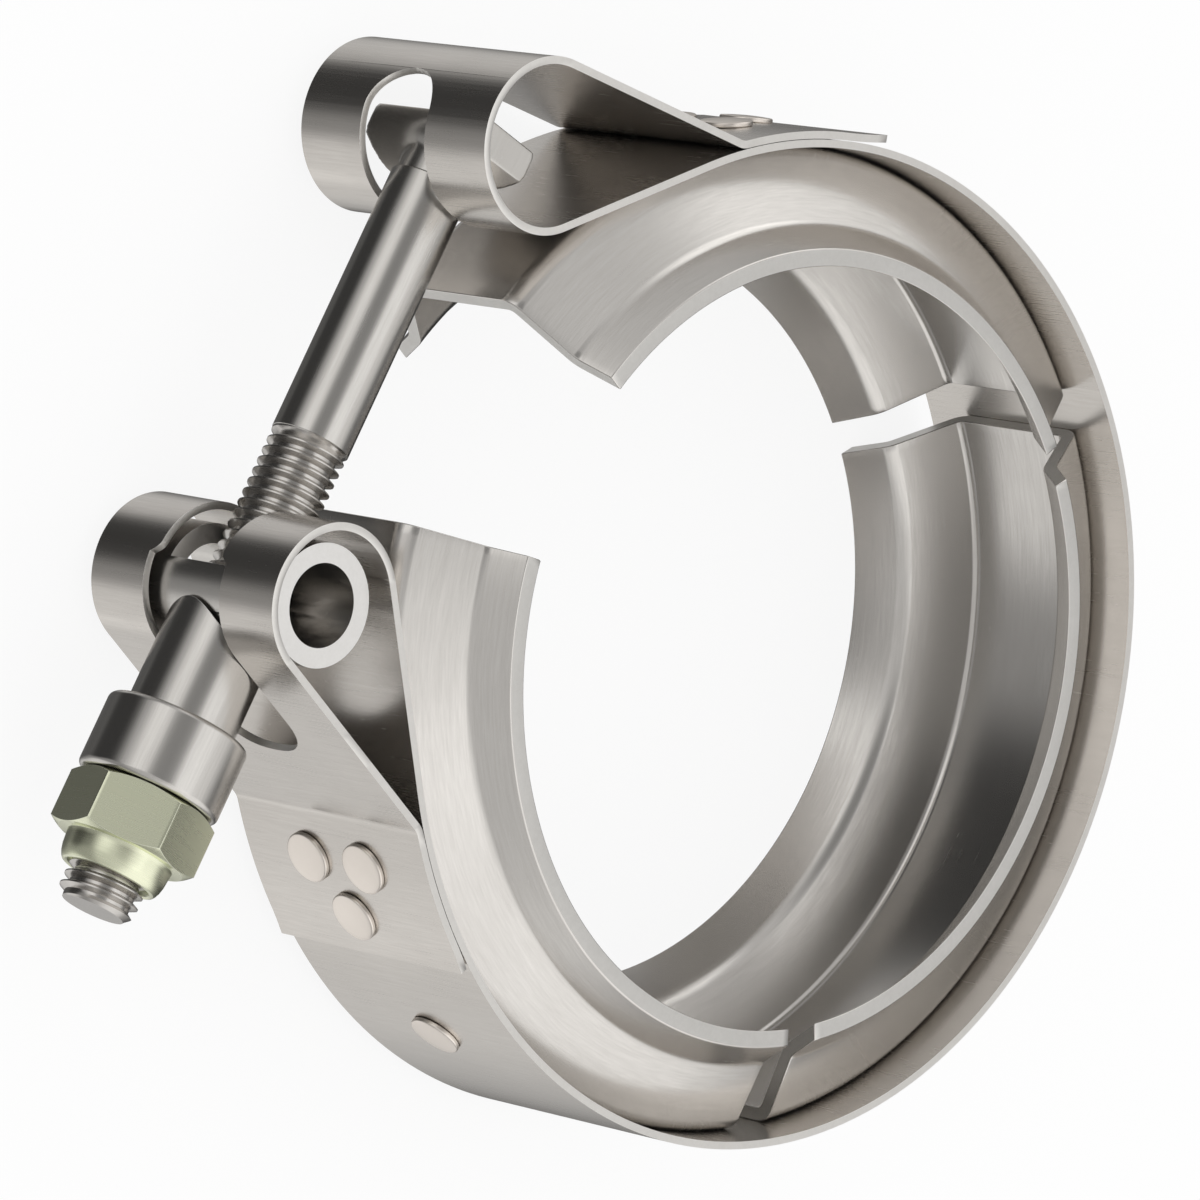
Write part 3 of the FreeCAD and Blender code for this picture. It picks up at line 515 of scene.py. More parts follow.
def in_metres(place: Matrix) -> Matrix:
    """The same place with its lengths in metres.

    Args:
        place: A place in millimetres.

    Returns:
        The place in metres.
    """
    made = place.copy()
    made.translation *= MM
    return made


def joined(name: str, *pieces: Piece) -> Piece:
    """Makes several pieces one.

    Args:
        name: Name of the result.
        *pieces: The pieces, of which the first stays.

    Returns:
        The first piece with the others' meshes added.
    """
    with bpy.context.temp_override(active_object=pieces[0], object=pieces[0],
                                   selected_objects=list(pieces),
                                   selected_editable_objects=list(pieces)):
        bpy.ops.object.join()
    pieces[0].name = name
    return pieces[0]


def tidied(piece: Piece, sharp: float = 35.0, merge: float = 0.003,
           outward: bool = True) -> Piece:
    """Merges doubles, closes open ends, points faces outwards and marks the crisp edges.

    Args:
        piece: The object whose mesh is tidied.
        sharp: Angle over which an edge stays crisp.
        merge: Distance under which vertices are one.
        outward: Whether the faces' directions are worked out anew.

    Returns:
        The same object.
    """
    mesh = piece.data
    work = bmesh.new()
    work.from_mesh(mesh)
    bmesh.ops.remove_doubles(work, verts=work.verts, dist=merge * MM)
    bmesh.ops.dissolve_degenerate(work, edges=work.edges, dist=merge * MM)
    open_edges = [edge for edge in work.edges if edge.is_boundary]
    if open_edges:
        bmesh.ops.holes_fill(work, edges=open_edges, sides=0)
    if outward:
        bmesh.ops.recalc_face_normals(work, faces=work.faces)
    work.to_mesh(mesh)
    work.free()
    mesh.shade_smooth()
    mesh.set_sharp_from_angle(angle=math.radians(sharp))
    return piece


def crisp_edges(piece: Piece, width: float, angle: float = 40.0) -> Piece:
    """Rounds a piece's sharp edges a little and gives them the cut-edge finish.

    Args:
        piece: The object, with its edge finish in the second material slot.
        width: Width of the rounding.
        angle: Angle over which an edge is rounded.

    Returns:
        The same object.
    """
    bevel = piece.modifiers.new("edge_round", "BEVEL")
    bevel.width = width * MM
    bevel.segments = ROUND_SEGMENTS
    bevel.limit_method = "ANGLE"
    bevel.angle_limit = math.radians(angle)
    bevel.material = Facing.EDGE.value
    piece.modifiers.new("even_normals", "WEIGHTED_NORMAL").weight = NORMAL_WEIGHT
    return baked(piece)


def solid_copy(node: str, name: str, finishes: Sequence[MetalFinish],
               edge_level: float) -> Piece:
    """A merged copy of a solid with its flat ends in the edge finish.

    Args:
        node: The solid.
        name: Name of the copy.
        finishes: Face and edge finish.
        edge_level: Upright share of a face's normal from which it is a cut end.

    Returns:
        The copy, at the origin.
    """
    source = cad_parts[node].data
    mesh = bpy.data.meshes.new(name)
    mesh.from_pydata([vertex.co for vertex in source.vertices], [],
                     [tuple(face.vertices) for face in source.polygons])
    work = bmesh.new()
    work.from_mesh(mesh)
    bmesh.ops.remove_doubles(work, verts=work.verts, dist=0.002 * MM)
    bmesh.ops.dissolve_limit(work, angle_limit=math.radians(0.5), verts=work.verts,
                             edges=work.edges)
    work.to_mesh(mesh)
    work.free()
    piece = tidied(dressed(linked(name, mesh), finishes), sharp=30.0, outward=False)
    for polygon in piece.data.polygons:
        steep = abs(polygon.normal.z) > edge_level
        polygon.material_index = Facing.EDGE.value if steep else Facing.FACE.value
    return piece


def mount(piece: Piece, body: Body, slot: str, *nodes: str) -> None:
    """Rides a finished piece on its body and reports it.

    Args:
        piece: The piece.
        body: The moving body that carries it.
        slot: Material slot of the record; not used.
        *nodes: Solids that the piece stands for.
    """
    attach(piece, body.value)
    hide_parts(*nodes)
    LOG.info("%s: %d faces on %s", piece.name, len(piece.data.polygons), body.value)


class MeshDraft:
    """Vertices and faces of one piece, in millimetres, before it is a mesh."""

    def __init__(self) -> None:
        """Starts an empty draft."""
        self.points: List[Vector] = []
        self.faces: List[Tuple[int, ...]] = []
        self.facings: List[int] = []

    def point(self, place: Vector) -> int:
        """Adds a vertex and returns its number."""
        self.points.append(place)
        return len(self.points) - 1

    def face(self, corners: Sequence[int], facing: Facing = Facing.FACE) -> None:
        """Adds a face, left out where fewer than three of its corners differ.

        Args:
            corners: Numbers of its vertices.
            facing: Its material slot.
        """
        kept = tuple(dict.fromkeys(corners))
        if len(kept) > 2:
            self.faces.append(kept)
            self.facings.append(facing.value)

    def lathe(self, rows: Sequence[Row], steps: int, closed: bool = False) -> "MeshDraft":
        """Adds a turned shape about X whose rows may change round the axis.

        Args:
            rows: For each row, a function from the angle to the length along X and the radius.
            steps: Points round the axis.
            closed: Whether the last row joins the first.

        Returns:
            The draft.
        """
        rings = []
        for row in rows:
            ring = []
            for index in range(steps):
                turn = FULL_TURN * index / steps
                length, radius = row(turn)
                arm = unit(turn) * radius
                ring.append(self.point(Vector((length, arm.x, arm.y))))
            rings.append(ring)
        pairs = list(zip(rings, rings[1:]))
        if closed:
            pairs.append((rings[-1], rings[0]))
        for ring, following in pairs:
            for index in range(steps):
                ahead = (index + 1) % steps
                self.face((ring[index], ring[ahead], following[ahead], following[index]))
        return self

    def build(self, name: str, place: Optional[Matrix] = None,
              finishes: Sequence[MetalFinish] = ()) -> Piece:
        """Turns the draft into an object at the origin.

        Args:
            name: The object's name.
            place: Turns and moves the mesh, in millimetres.
            finishes: Finish of each material slot.

        Returns:
            The object, linked to the scene.
        """
        place = place or Matrix.Identity(4)
        mesh = bpy.data.meshes.new(name)
        mesh.from_pydata([(place @ point) * MM for point in self.points], [], self.faces)
        piece = dressed(linked(name, mesh), finishes)
        mesh.polygons.foreach_set("material_index", self.facings)
        return tidied(piece)


class SweepTree(GeometryTree):
    """Sweeps a closed section, drawn in the XZ plane, round the ring axis and caps its ends."""

    LIP_SLOPE = 0.95

    def __init__(self) -> None:
        """Builds the tree."""
        super().__init__("section_sweep", {
            "Start": "Float", "Sweep": "Float", "Steps": "Int",
            "Face Finish": "Material", "Edge Finish": "Material"})
        given = self.given
        size = self.node("GeometryNodeAttributeDomainSize", {"Geometry": given["Geometry"]},
                         component="MESH")
        count = size.outputs["Point Count"]
        across = self.math("ADD", count, 1.0)
        along = self.math("ADD", given["Steps"], 1.0)
        grid = self.node("GeometryNodeMeshGrid", {"Vertices X": along, "Vertices Y": across})
        index = self.node("GeometryNodeInputIndex").outputs[0]
        step = self.math("FLOOR", self.math("DIVIDE", index, across))
        corner = self.math("MODULO", self.math("MODULO", index, across), count)
        position = self.node("GeometryNodeInputPosition").outputs[0]
        sample = self.node("GeometryNodeSampleIndex", data_type="FLOAT_VECTOR", domain="POINT")
        self.wire(given["Geometry"], sample.inputs["Geometry"])
        self.wire(position, sample.inputs["Value"])
        self.wire(corner, sample.inputs["Index"])
        section = self.split(sample.outputs[0])
        share = self.math("DIVIDE", step, given["Steps"])
        turn = self.math("MULTIPLY_ADD", given["Sweep"], share, given["Start"])
        angle = self.math("RADIANS", turn)
        place = self.vector(self.math("MULTIPLY", section["X"], self.math("COSINE", angle)),
                            self.math("MULTIPLY", section["X"], self.math("SINE", angle)),
                            section["Z"])
        wall = self.moved(grid.outputs["Mesh"], place)
        normal = self.node("GeometryNodeInputNormal").outputs["Normal"]
        steep = self.math("ABSOLUTE", self.split(normal)["Z"])
        lips = self.math("GREATER_THAN", steep, self.LIP_SLOPE)
        wall = self.painted(wall, given["Face Finish"])
        wall = self.painted(wall, given["Edge Finish"], lips)
        first = self.cap(given["Start"])
        last = self.cap(self.math("ADD", given["Start"], given["Sweep"]))
        caps = self.painted(self.joined(first, last), given["Edge Finish"])
        self.finish(self.merged(self.joined(wall, caps)))

    def cap(self, turn: object) -> Socket:
        """The section itself, turned to one end of the sweep.

        Args:
            turn: Ring angle of the end.

        Returns:
            The cap's geometry.
        """
        sources = {"Geometry": self.given["Geometry"],
                   "Rotation": self.ring_turn(self.math("RADIANS", turn))}
        return self.node("GeometryNodeTransform", sources).outputs[0]


class ThreadTree(GeometryTree):
    """A helical thread along X: root, two flanks and crest follow the pitch, its ends run out."""

    POINTS_A_TURN = 64
    PROFILE = ((0.5, 0.25), (1.5, 0.3125), (2.5, 0.125), (3.5, 0.3125))
    CREST_ROWS = (1.5, 3.5)
    RUN_OUT_SLOPE = 0.8
    MERGE = 0.012

    def __init__(self) -> None:
        """Builds the tree."""
        super().__init__("helical_thread", {
            "Pitch": "Float", "Crest Radius": "Float", "Root Radius": "Float",
            "Start": "Float", "End": "Float", "Chamfer": "Float", "Face Finish": "Material"})
        given = self.given
        pitch, crest, root = given["Pitch"], given["Crest Radius"], given["Root Radius"]
        length = self.math("SUBTRACT", given["End"], given["Start"])
        turns = self.math("ADD", self.math("CEIL", self.math("DIVIDE", length, pitch)), 2.0)
        across = float(len(self.PROFILE) + 1)
        points = self.math("MULTIPLY", turns, self.POINTS_A_TURN)
        grid = self.node("GeometryNodeMeshGrid", {"Vertices X": points, "Vertices Y": int(across)})
        index = self.node("GeometryNodeInputIndex").outputs[0]
        step = self.math("FLOOR", self.math("DIVIDE", index, across))
        row = self.math("MODULO", index, across)
        rise = 0.0
        for level, part in self.PROFILE:
            rise = self.math("MULTIPLY_ADD", self.math("GREATER_THAN", row, level), part, rise)
        turned = self.math("DIVIDE", step, float(self.POINTS_A_TURN))
        advance = self.math("MULTIPLY", self.math("SUBTRACT", self.total(turned, rise), 1.0), pitch)
        along = self.math("ADD", given["Start"], advance)
        low_limit = self.math("MAXIMUM", along, given["Start"])
        along = self.math("MINIMUM", low_limit, given["End"])
        first, last = self.CREST_ROWS
        on_crest = self.math("MULTIPLY", self.math("GREATER_THAN", row, first),
                             self.math("LESS_THAN", row, last))
        depth = self.math("SUBTRACT", crest, root)
        radius = self.math("MULTIPLY_ADD", on_crest, depth, root)
        from_start = self.math("SUBTRACT", along, given["Start"])
        fall = self.math("MULTIPLY", from_start, self.RUN_OUT_SLOPE)
        radius = self.math("MAXIMUM", radius, self.math("SUBTRACT", crest, fall))
        to_end = self.math("SUBTRACT", given["End"], along)
        cone = self.math("ADD", self.math("SUBTRACT", crest, given["Chamfer"]), to_end)
        radius = self.math("MINIMUM", radius, cone)
        angle = self.math("MULTIPLY", turned, math.radians(FULL_TURN))
        place = self.vector(along, self.math("MULTIPLY", radius, self.math("COSINE", angle)),
                            self.math("MULTIPLY", radius, self.math("SINE", angle)))
        wall = self.moved(grid.outputs["Mesh"], place)
        self.finish(self.painted(self.merged(wall, self.MERGE), given["Face Finish"]))


class RowTree(GeometryTree):
    """Sets a copy of one piece at each point, turned round Z by the point's own angle."""

    TURN = "turn"

    def __init__(self) -> None:
        """Builds the tree."""
        super().__init__("piece_row", {"Piece": "Object", "Face Finish": "Material"})
        source = self.node("GeometryNodeObjectInfo", {"Object": self.given["Piece"]})
        turn = self.node("GeometryNodeInputNamedAttribute", {"Name": self.TURN},
                         data_type="FLOAT")
        points = self.node("GeometryNodeMeshToPoints", {"Mesh": self.given["Geometry"]})
        copies = self.node("GeometryNodeInstanceOnPoints", {
            "Points": points.outputs[0], "Instance": source.outputs["Geometry"],
            "Rotation": self.ring_turn(turn.outputs["Attribute"])})
        realized = self.node("GeometryNodeRealizeInstances", {0: copies.outputs[0]})
        self.finish(self.painted(realized.outputs[0], self.given["Face Finish"]))


@dataclass(frozen=True)
class Station:
    """One place along the strap: its outer face, the way that it faces and the slot there."""

    place: Vector
    facing: float
    slot: float = 0.0


@dataclass(frozen=True)
class LoopSizes:
    """One loop of the strap, from the ring out to the latch and back to its tab."""

    leave: float
    radius: float
    reach: float
    side: int
    face: float
    tab_end: float
    lift_from: float
    lift: float

    def centre(self, ring: float) -> Vector:
        """Middle of the loop."""
        along = unit(self.leave + 90 * self.side)
        return unit(self.leave) * (ring + self.radius) + along * self.reach

    def crease(self, ring: float, tab: float, bend: float) -> Tuple[Vector, float]:
        """Centre of the soft bend from return leg to tab, and the ring angle where it ends.

        Args:
            ring: Inner radius of the strap.
            tab: Outer radius of the tab.
            bend: Radius of the bend.

        Returns:
            The centre and the angle.
        """
        outward = unit(self.face)
        distance = self.centre(ring).dot(outward) + self.radius + bend
        across = math.sqrt((tab + bend) ** 2 - distance ** 2)
        centre = outward * distance + unit(self.face + 90 * self.side) * across
        return centre, math.degrees(math.atan2(centre.y, centre.x)) % FULL_TURN


@dataclass
class Strap:
    """The folded strip: ring, two slotted loops and two tabs, in one piece."""

    ring: float = 39.9
    sheet: float = 0.62
    half_width: float = 10.5
    tab: float = 41.19
    crease_bend: float = 1.6
    edge_round: float = 0.07
    ring_step: float = 1.5
    loop_step: float = 3.0
    bend_step: float = 4.0
    upper: LoopSizes = LoopSizes(192.7, 6.9, 16.1, 1, 157.4, 164.8, 170.8, 0.42)
    lower: LoopSizes = LoopSizes(279.5, 6.3, 16.9, -1, 312.0, 301.0, 297.6, 0.2)
    upper_slot: Triple = (3.7, 249.5, 334.0)
    lower_slot: Tuple[float, float] = (3.55, 137.0)
    sleeve_slot: Triple = (4.45, 241.0, 8.0)
    blunt_end: float = 3.7
    blunt_power: float = 0.8
    tooth_run: float = 9.0
    slot_closed: float = 0.01

    def arc(self, centre: Vector, radius: float, first: float, last: float, step: float,
            slot: Callable[[float], float] = lambda turn: 0.0,
            extra: Sequence[float] = ()) -> List[Station]:
        """Stations along one arc.

        Args:
            centre: Centre of the arc.
            radius: Radius to the outer face, negative where the strip bends the other way.
            first: Facing at the start.
            last: Facing at the end.
            step: Angle between stations.
            slot: Half width of the slot at a facing.
            extra: Further facings that need a station.

        Returns:
            The stations in order.
        """
        turns = sorted({round(turn, 4) for turn in (*steps_between(first, last, step), *extra)},
                       reverse=last < first)
        return [Station(centre + unit(turn) * radius, turn, slot(turn)) for turn in turns]

    def end_angles(self, half: float, radius: float) -> List[float]:
        """Angles past a slot's last full width where its round end needs a station."""
        return [math.degrees(math.asin(half * math.sin(math.radians(bow)) / radius))
                for bow in range(0, 91, 10)]

    def end_width(self, half: float, radius: float, past: float) -> float:
        """Half width of a slot past its last full width."""
        run = radius * math.sin(math.radians(min(max(past, 0.0), 90.0)))
        return math.sqrt(max(half * half - run * run, 0.0))

    def upper_width(self, turn: float) -> float:
        """Half width of the bolt's slot in the upper loop."""
        half, start, end = self.upper_slot
        return self.end_width(half, self.upper.radius, max(start - turn, turn - end))

    def lower_width(self, turn: float) -> float:
        """Half width of the slot in the lower loop, with the tooth where it widens.

        Args:
            turn: Facing in the loop.

        Returns:
            The half width.
        """
        half, start = self.lower_slot
        wide, step, _ = self.sleeve_slot
        if turn < start:
            return self.end_width(half, self.lower.radius, start - turn)
        share = min(max((turn - step) / self.tooth_run + 1.0, 0.0), 1.0)
        return half + (wide - half) * share ** 2

    def tab_run(self, loop: LoopSizes, first: float, last: float) -> List[Station]:
        """Stations of a tab whose free end stands off the ring a little.

        Args:
            loop: The loop that the tab ends.
            first: Ring angle at the start.
            last: Ring angle at the end.

        Returns:
            The stations in order.
        """
        stations = []
        for turn in steps_between(first, last, self.ring_step):
            past = (turn - loop.lift_from) / (loop.tab_end - loop.lift_from)
            lift = loop.lift * max(past, 0.0) ** 2
            stations.append(Station(unit(turn) * (self.tab + lift), turn))
        return stations

    def stations(self) -> List[Station]:
        """The whole strip, from the upper tab's end round the ring to the lower tab's end.

        Returns:
            The stations in order.
        """
        origin = Vector((0.0, 0.0, 0.0))
        upper, lower = self.upper, self.lower
        upper_bend, upper_turn = upper.crease(self.ring, self.tab, self.crease_bend)
        lower_bend, lower_turn = lower.crease(self.ring, self.tab, self.crease_bend)
        path = self.tab_run(upper, upper.tab_end, upper_turn)
        path += self.arc(upper_bend, -self.crease_bend, upper_turn, upper.face,
                         self.bend_step)
        half, start, end = self.upper_slot
        past = self.end_angles(half, upper.radius)
        extra = [start - angle for angle in past] + [end + angle for angle in past]
        path += self.arc(upper.centre(self.ring), upper.radius, upper.face, upper.leave + 180,
                         self.loop_step, self.upper_width, extra)
        path += self.arc(origin, -self.ring, upper.leave + 180, lower.leave - 180,
                         self.ring_step)
        half, start = self.lower_slot
        wide, step, run = self.sleeve_slot
        extra = [start - angle for angle in self.end_angles(half, lower.radius)]
        extra += steps_between(step - self.tooth_run, step, self.ring_step)
        centre = lower.centre(self.ring)
        path += self.arc(centre, lower.radius, lower.leave - 180, lower.face,
                         self.loop_step, self.lower_width, extra)
        leg = centre + unit(lower.face) * lower.radius
        along = unit(lower.face + 90)
        for bow in range(0, 91, 9):
            turn = math.radians(bow)
            reach = run + self.blunt_end * math.sin(turn)
            width = wide * math.cos(turn) ** self.blunt_power
            path.append(Station(leg + along * reach, lower.face, width))
        path += self.arc(lower_bend, -self.crease_bend, lower.face, lower_turn, self.bend_step)
        return path + self.tab_run(lower, lower_turn, lower.tab_end)

    def build(self) -> None:
        """Meshes the strip, both halves of its width round the slots."""
        draft = MeshDraft()
        stations = self.stations()
        for half in (1, -1):
            rows = []
            for station in stations:
                under = station.place - unit(station.facing) * self.sheet
                row = []
                for face in (station.place, under):
                    for level in (station.slot, self.half_width):
                        row.append(draft.point(face + Vector((0.0, 0.0, half * level))))
                rows.append(row)
            for index, (here, ahead) in enumerate(zip(rows, rows[1:])):
                draft.face((here[0], here[1], ahead[1], ahead[0]))
                draft.face((here[2], here[3], ahead[3], ahead[2]))
                draft.face((here[1], here[3], ahead[3], ahead[1]), Facing.EDGE)
                if max(stations[index].slot, stations[index + 1].slot) > self.slot_closed:
                    draft.face((here[0], here[2], ahead[2], ahead[0]), Facing.EDGE)
            for end in (rows[0], rows[-1]):
                draft.face((end[0], end[1], end[3], end[2]), Facing.EDGE)
        piece = draft.build("strap", finishes=(STRIP_FACE, STRIP_EDGE))
        crisp_edges(piece, self.edge_round)
        mount(piece, Body.RING, "strip_steel", "band")


@dataclass
class Retainers:
    """The three V-section retainers inside the strap."""

    middles: Tuple[Tuple[str, float], ...] = (
        ("retainer_upper", 168.15), ("retainer_side", 55.807), ("retainer_lower", -56.536))
    arc: float = 107.0
    steps: int = 90
    sheet: float = 1.2
    crown_bend: float = 0.8
    lip_bend: float = 1.5
    edge_round: float = 0.1
    bend_step: float = 8.0
    outer: Tuple[Spot, ...] = ((39.9, 6.55), (33.75, 9.6836), (32.018, 12.35))
    inner: Tuple[Spot, ...] = ((30.588, 12.35), (32.919, 8.7604), (38.7, 5.8147))

    def section(self) -> List[Spot]:
        """The closed V section as radius and height, its bends rounded.

        Returns:
            The section's points in order.
        """
        radii = (self.crown_bend + self.sheet, self.lip_bend, 0.0, 0.0,
                 self.lip_bend + self.sheet, self.crown_bend)
        upper = list(zip((*self.outer, *self.inner), radii))
        lower = [((spot[0], -spot[1]), radius) for spot, radius in reversed(upper)]
        return rounded_outline(upper + lower, self.bend_step)

    def build(self) -> None:
        """Sweeps the section round each retainer's arc."""
        tree = SweepTree()
        for name, middle in self.middles:
            mesh = bpy.data.meshes.new(name + "_formed")
            points = [Vector((radius, 0.0, level)) * MM for radius, level in self.section()]
            mesh.from_pydata(points, [], [tuple(range(len(points)))])
            piece = linked(name + "_formed", mesh)
            tree.run(piece, {
                "Start": middle - self.arc / 2, "Sweep": self.arc, "Steps": self.steps,
                "Face Finish": RETAINER_FACE.material(),
                "Edge Finish": RETAINER_EDGE.material()})
            tidied(piece)
            crisp_edges(piece, self.edge_round)
            mount(piece, Body.RING, "retainer_steel", name)


@dataclass
class Rivets:
    """The rivets of both tabs and of the lower retainer."""

    head: float = 2.15
    head_height: float = 0.5
    dome: float = 0.1
    rim: float = 0.16
    shank: float = 1.2
    tail: float = 1.7
    tail_span: Spot = (38.3, 38.65)
    tail_chamfer: float = 0.1
    under_chamfer: Spot = (0.06, 0.05)
    dome_shares: Tuple[float, ...] = (0.85, 0.65, 0.4, 0.15)
    steps: int = 48
    sharp: float = 35.0
    tab_seat: float = 41.21
    ring_seat: float = 40.54
    tab_spots: Tuple[Spot, ...] = (
        (289.2, 3.2), (289.2, -3.2), (296.0, 0.0), (180.0, 3.2), (180.0, -3.2), (172.5, 0.0))
    ring_spots: Tuple[Spot, ...] = ((315.2, 0.0),)

    def template(self, seat: float) -> Piece:
        """One rivet along X, which the row sets at each of its spots.

        Args:
            seat: Distance of the head's seat from the ring axis.

        Returns:
            The pattern, which the row removes again.
        """
        top = seat + self.head_height
        low, high = self.tail_span
        rise, inset = self.under_chamfer
        profile = [(low, 0.0), (low, self.tail - self.tail_chamfer),
                   (low + self.tail_chamfer, self.tail), (high, self.tail), (high, self.shank),
                   (seat, self.shank), (seat, self.head - inset), (seat + rise, self.head)]
        base = top - self.dome - self.rim
        for turn in range(0, 91, 22):
            bow = math.radians(turn)
            profile.append((base + self.rim * math.sin(bow),
                            self.head - self.rim * (1 - math.cos(bow))))
        for share in self.dome_shares:
            profile.append((top - self.dome * share ** 2, (self.head - self.rim) * share))
        profile.append((top, 0.0))
        draft = MeshDraft().lathe(fixed_rows(profile), self.steps)
        return draft.build("rivet_pattern", finishes=(RIVET_FACE,))

    def row(self, name: str, seat: float, spots: Sequence[Spot], *nodes: str) -> None:
        """Sets one rivet at each spot.

        Args:
            name: Name of the row.
            seat: Distance of the heads' seat from the ring axis.
            spots: Ring angle and level of each rivet.
            *nodes: The solids that the row stands for.
        """
        pattern = self.template(seat)
        mesh = bpy.data.meshes.new(name)
        mesh.from_pydata([(0.0, 0.0, level * MM) for _, level in spots], [], [])
        turns = mesh.attributes.new(RowTree.TURN, "FLOAT", "POINT")
        turns.data.foreach_set("value", [math.radians(turn) for turn, _ in spots])
        piece = linked(name, mesh)
        RowTree().run(piece, {"Piece": pattern, "Face Finish": RIVET_FACE.material()})
        bpy.data.objects.remove(pattern)
        piece.data.shade_smooth()
        piece.data.set_sharp_from_angle(angle=math.radians(self.sharp))
        mount(piece, Body.RING, "rivet_steel", *nodes)

    def build(self) -> None:
        """Builds both rows."""
        tab_nodes = [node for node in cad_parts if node.startswith("rivet_t")]
        self.row("tab_rivets", self.tab_seat, self.tab_spots, *tab_nodes)
        self.row("strap_rivet", self.ring_seat, self.ring_spots, "rivet_retainer_lower")


@dataclass
class Latch:
    """Places of the latch that its pieces share."""

    head: Spot = (-41.6355, -26.8549)
    trunnion: Spot = (-8.893, -48.5957)

    def place(self, centre: Spot) -> Matrix:
        """Turns X along the bolt and moves the origin to a centre."""
        turn = Matrix.Rotation(math.radians(BOLT_TURN), 4, "Z")
        return Matrix.Translation((*centre, 0.0)) @ turn


@dataclass
class TBolt(Latch):
    """The T-bolt: a forged cross-bar head, a plain shank and a rolled thread."""

    bar_radius: float = 3.3
    bar_flat: float = 1.3
    bar_half: float = 6.15
    shank: float = 3.175
    neck: float = 2.86
    neck_end: float = 3.75
    taper_point: int = 8
    taper: float = 0.8
    shank_end: float = 26.4
    length: float = 66.5
    pitch: float = 0.907
    crest: float = 3.125
    root: float = 2.569
    chamfer: float = 0.62
    voxel: float = 0.15
    soften_rounds: int = 6
    stub_run: float = 2.0
    neck_overlap: float = 0.02
    shoulder: Spot = (0.12, 0.12)
    run_in: float = 0.3
    bar_step: float = 6.0
    neck_steps: int = 64
    shank_steps: int = 96

    def bar(self) -> MeshDraft:
        """The cross-bar along Z, round under and flat on top.

        Returns:
            The draft of the bar.
        """
        draft = MeshDraft()
        chord = math.sqrt(self.bar_radius ** 2 - self.bar_flat ** 2)
        limit = math.degrees(math.atan2(chord, -self.bar_flat))
        turns = steps_between(-limit, limit, self.bar_step)
        outline = [unit(turn) * self.bar_radius for turn in turns]
        rings = []
        crease = outline[self.taper_point].x
        for way in (-1, 1):
            ring = []
            for spot in outline:
                level = self.bar_half - self.taper * max(spot.x - crease, 0.0)
                ring.append(draft.point(spot + Vector((0.0, 0.0, way * level))))
            rings.append(ring)
        count = len(outline)
        for index in range(count):
            ahead = (index + 1) % count
            draft.face((rings[0][index], rings[0][ahead], rings[1][ahead], rings[1][index]))
        first, last = self.taper_point, count - self.taper_point
        for ring in rings:
            draft.face(ring[first:last])
            draft.face(ring[:first + 1] + ring[last - 1:])
        return draft

    def stub(self) -> MeshDraft:
        """A short piece of shank that the neck is blended from.

        Returns:
            The draft of the stub.
        """
        reach = self.neck_end + self.stub_run
        profile = ((0.0, 0.0), (0.0, self.neck), (reach, self.neck), (reach, 0.0))
        return MeshDraft().lathe(fixed_rows(profile), self.neck_steps)

    def forged_head(self) -> Piece:
        """Blends bar and neck into one forged shape, cut off where the shank begins.

        Returns:
            The head.
        """
        piece = joined("t_bolt_head", self.bar().build("head_bar"), self.stub().build("head_neck"))
        blend = piece.modifiers.new("blend", "REMESH")
        blend.mode = "VOXEL"
        blend.voxel_size = self.voxel * MM
        soften = piece.modifiers.new("soften", "SMOOTH")
        soften.factor = 0.5
        soften.iterations = self.soften_rounds
        baked(piece)
        work = bmesh.new()
        work.from_mesh(piece.data)
        every = work.verts[:] + work.edges[:] + work.faces[:]
        bmesh.ops.bisect_plane(work, geom=every, plane_co=(self.neck_end * MM, 0.0, 0.0),
                               plane_no=(1.0, 0.0, 0.0), clear_outer=True)
        work.to_mesh(piece.data)
        work.free()
        piece.data.transform(in_metres(self.place(self.head)))
        dressed(piece, (BOLT_FACE, BOLT_EDGE))
        return tidied(piece, sharp=60.0)

    def plain_shank(self) -> Piece:
        """The smooth shank between neck and thread.

        Returns:
            The shank.
        """
        start = self.neck_end - self.neck_overlap
        end = self.shank_end + self.run_in
        run, step = self.shoulder
        profile = ((start, 0.0), (start, self.shank - step), (start + run, self.shank),
                   (self.shank_end, self.shank), (end, self.crest - self.run_in), (end, 0.0))
        draft = MeshDraft().lathe(fixed_rows(profile), self.shank_steps)
        return draft.build("bolt_shank", self.place(self.head), (BOLT_FACE, BOLT_EDGE))

    def thread(self) -> Piece:
        """The helical thread.

        Returns:
            The thread.
        """
        piece = linked("bolt_thread", bpy.data.meshes.new("bolt_thread"))
        ThreadTree().run(piece, {
            "Pitch": self.pitch * MM, "Crest Radius": self.crest * MM,
            "Root Radius": self.root * MM, "Start": self.shank_end * MM,
            "End": self.length * MM, "Chamfer": self.chamfer * MM,
            "Face Finish": THREAD_FACE.material()})
        piece.data.transform(in_metres(self.place(self.head)))
        return tidied(piece, sharp=30.0, merge=0.01)

    def build(self) -> None:
        """Joins head, shank and thread into the bolt."""
        piece = joined("t_bolt_formed", self.forged_head(), self.plain_shank(), self.thread())
        mount(piece, Body.BOLT, "bolt_steel", "t_bolt")


@dataclass
class Trunnion:
    """The tubular trunnion in the lower loop, with its end faces turned flat."""

    edge_round: float = 0.12
    end_level: float = 0.99

    def build(self) -> None:
        """Rounds the edges of a merged copy of the solid."""
        piece = solid_copy("trunnion", "trunnion_formed", (BOLT_FACE, BOLT_EDGE), self.end_level)
        crisp_edges(piece, self.edge_round, angle=50.0)
        mount(piece, Body.TRUNNION, "bolt_steel", "trunnion")


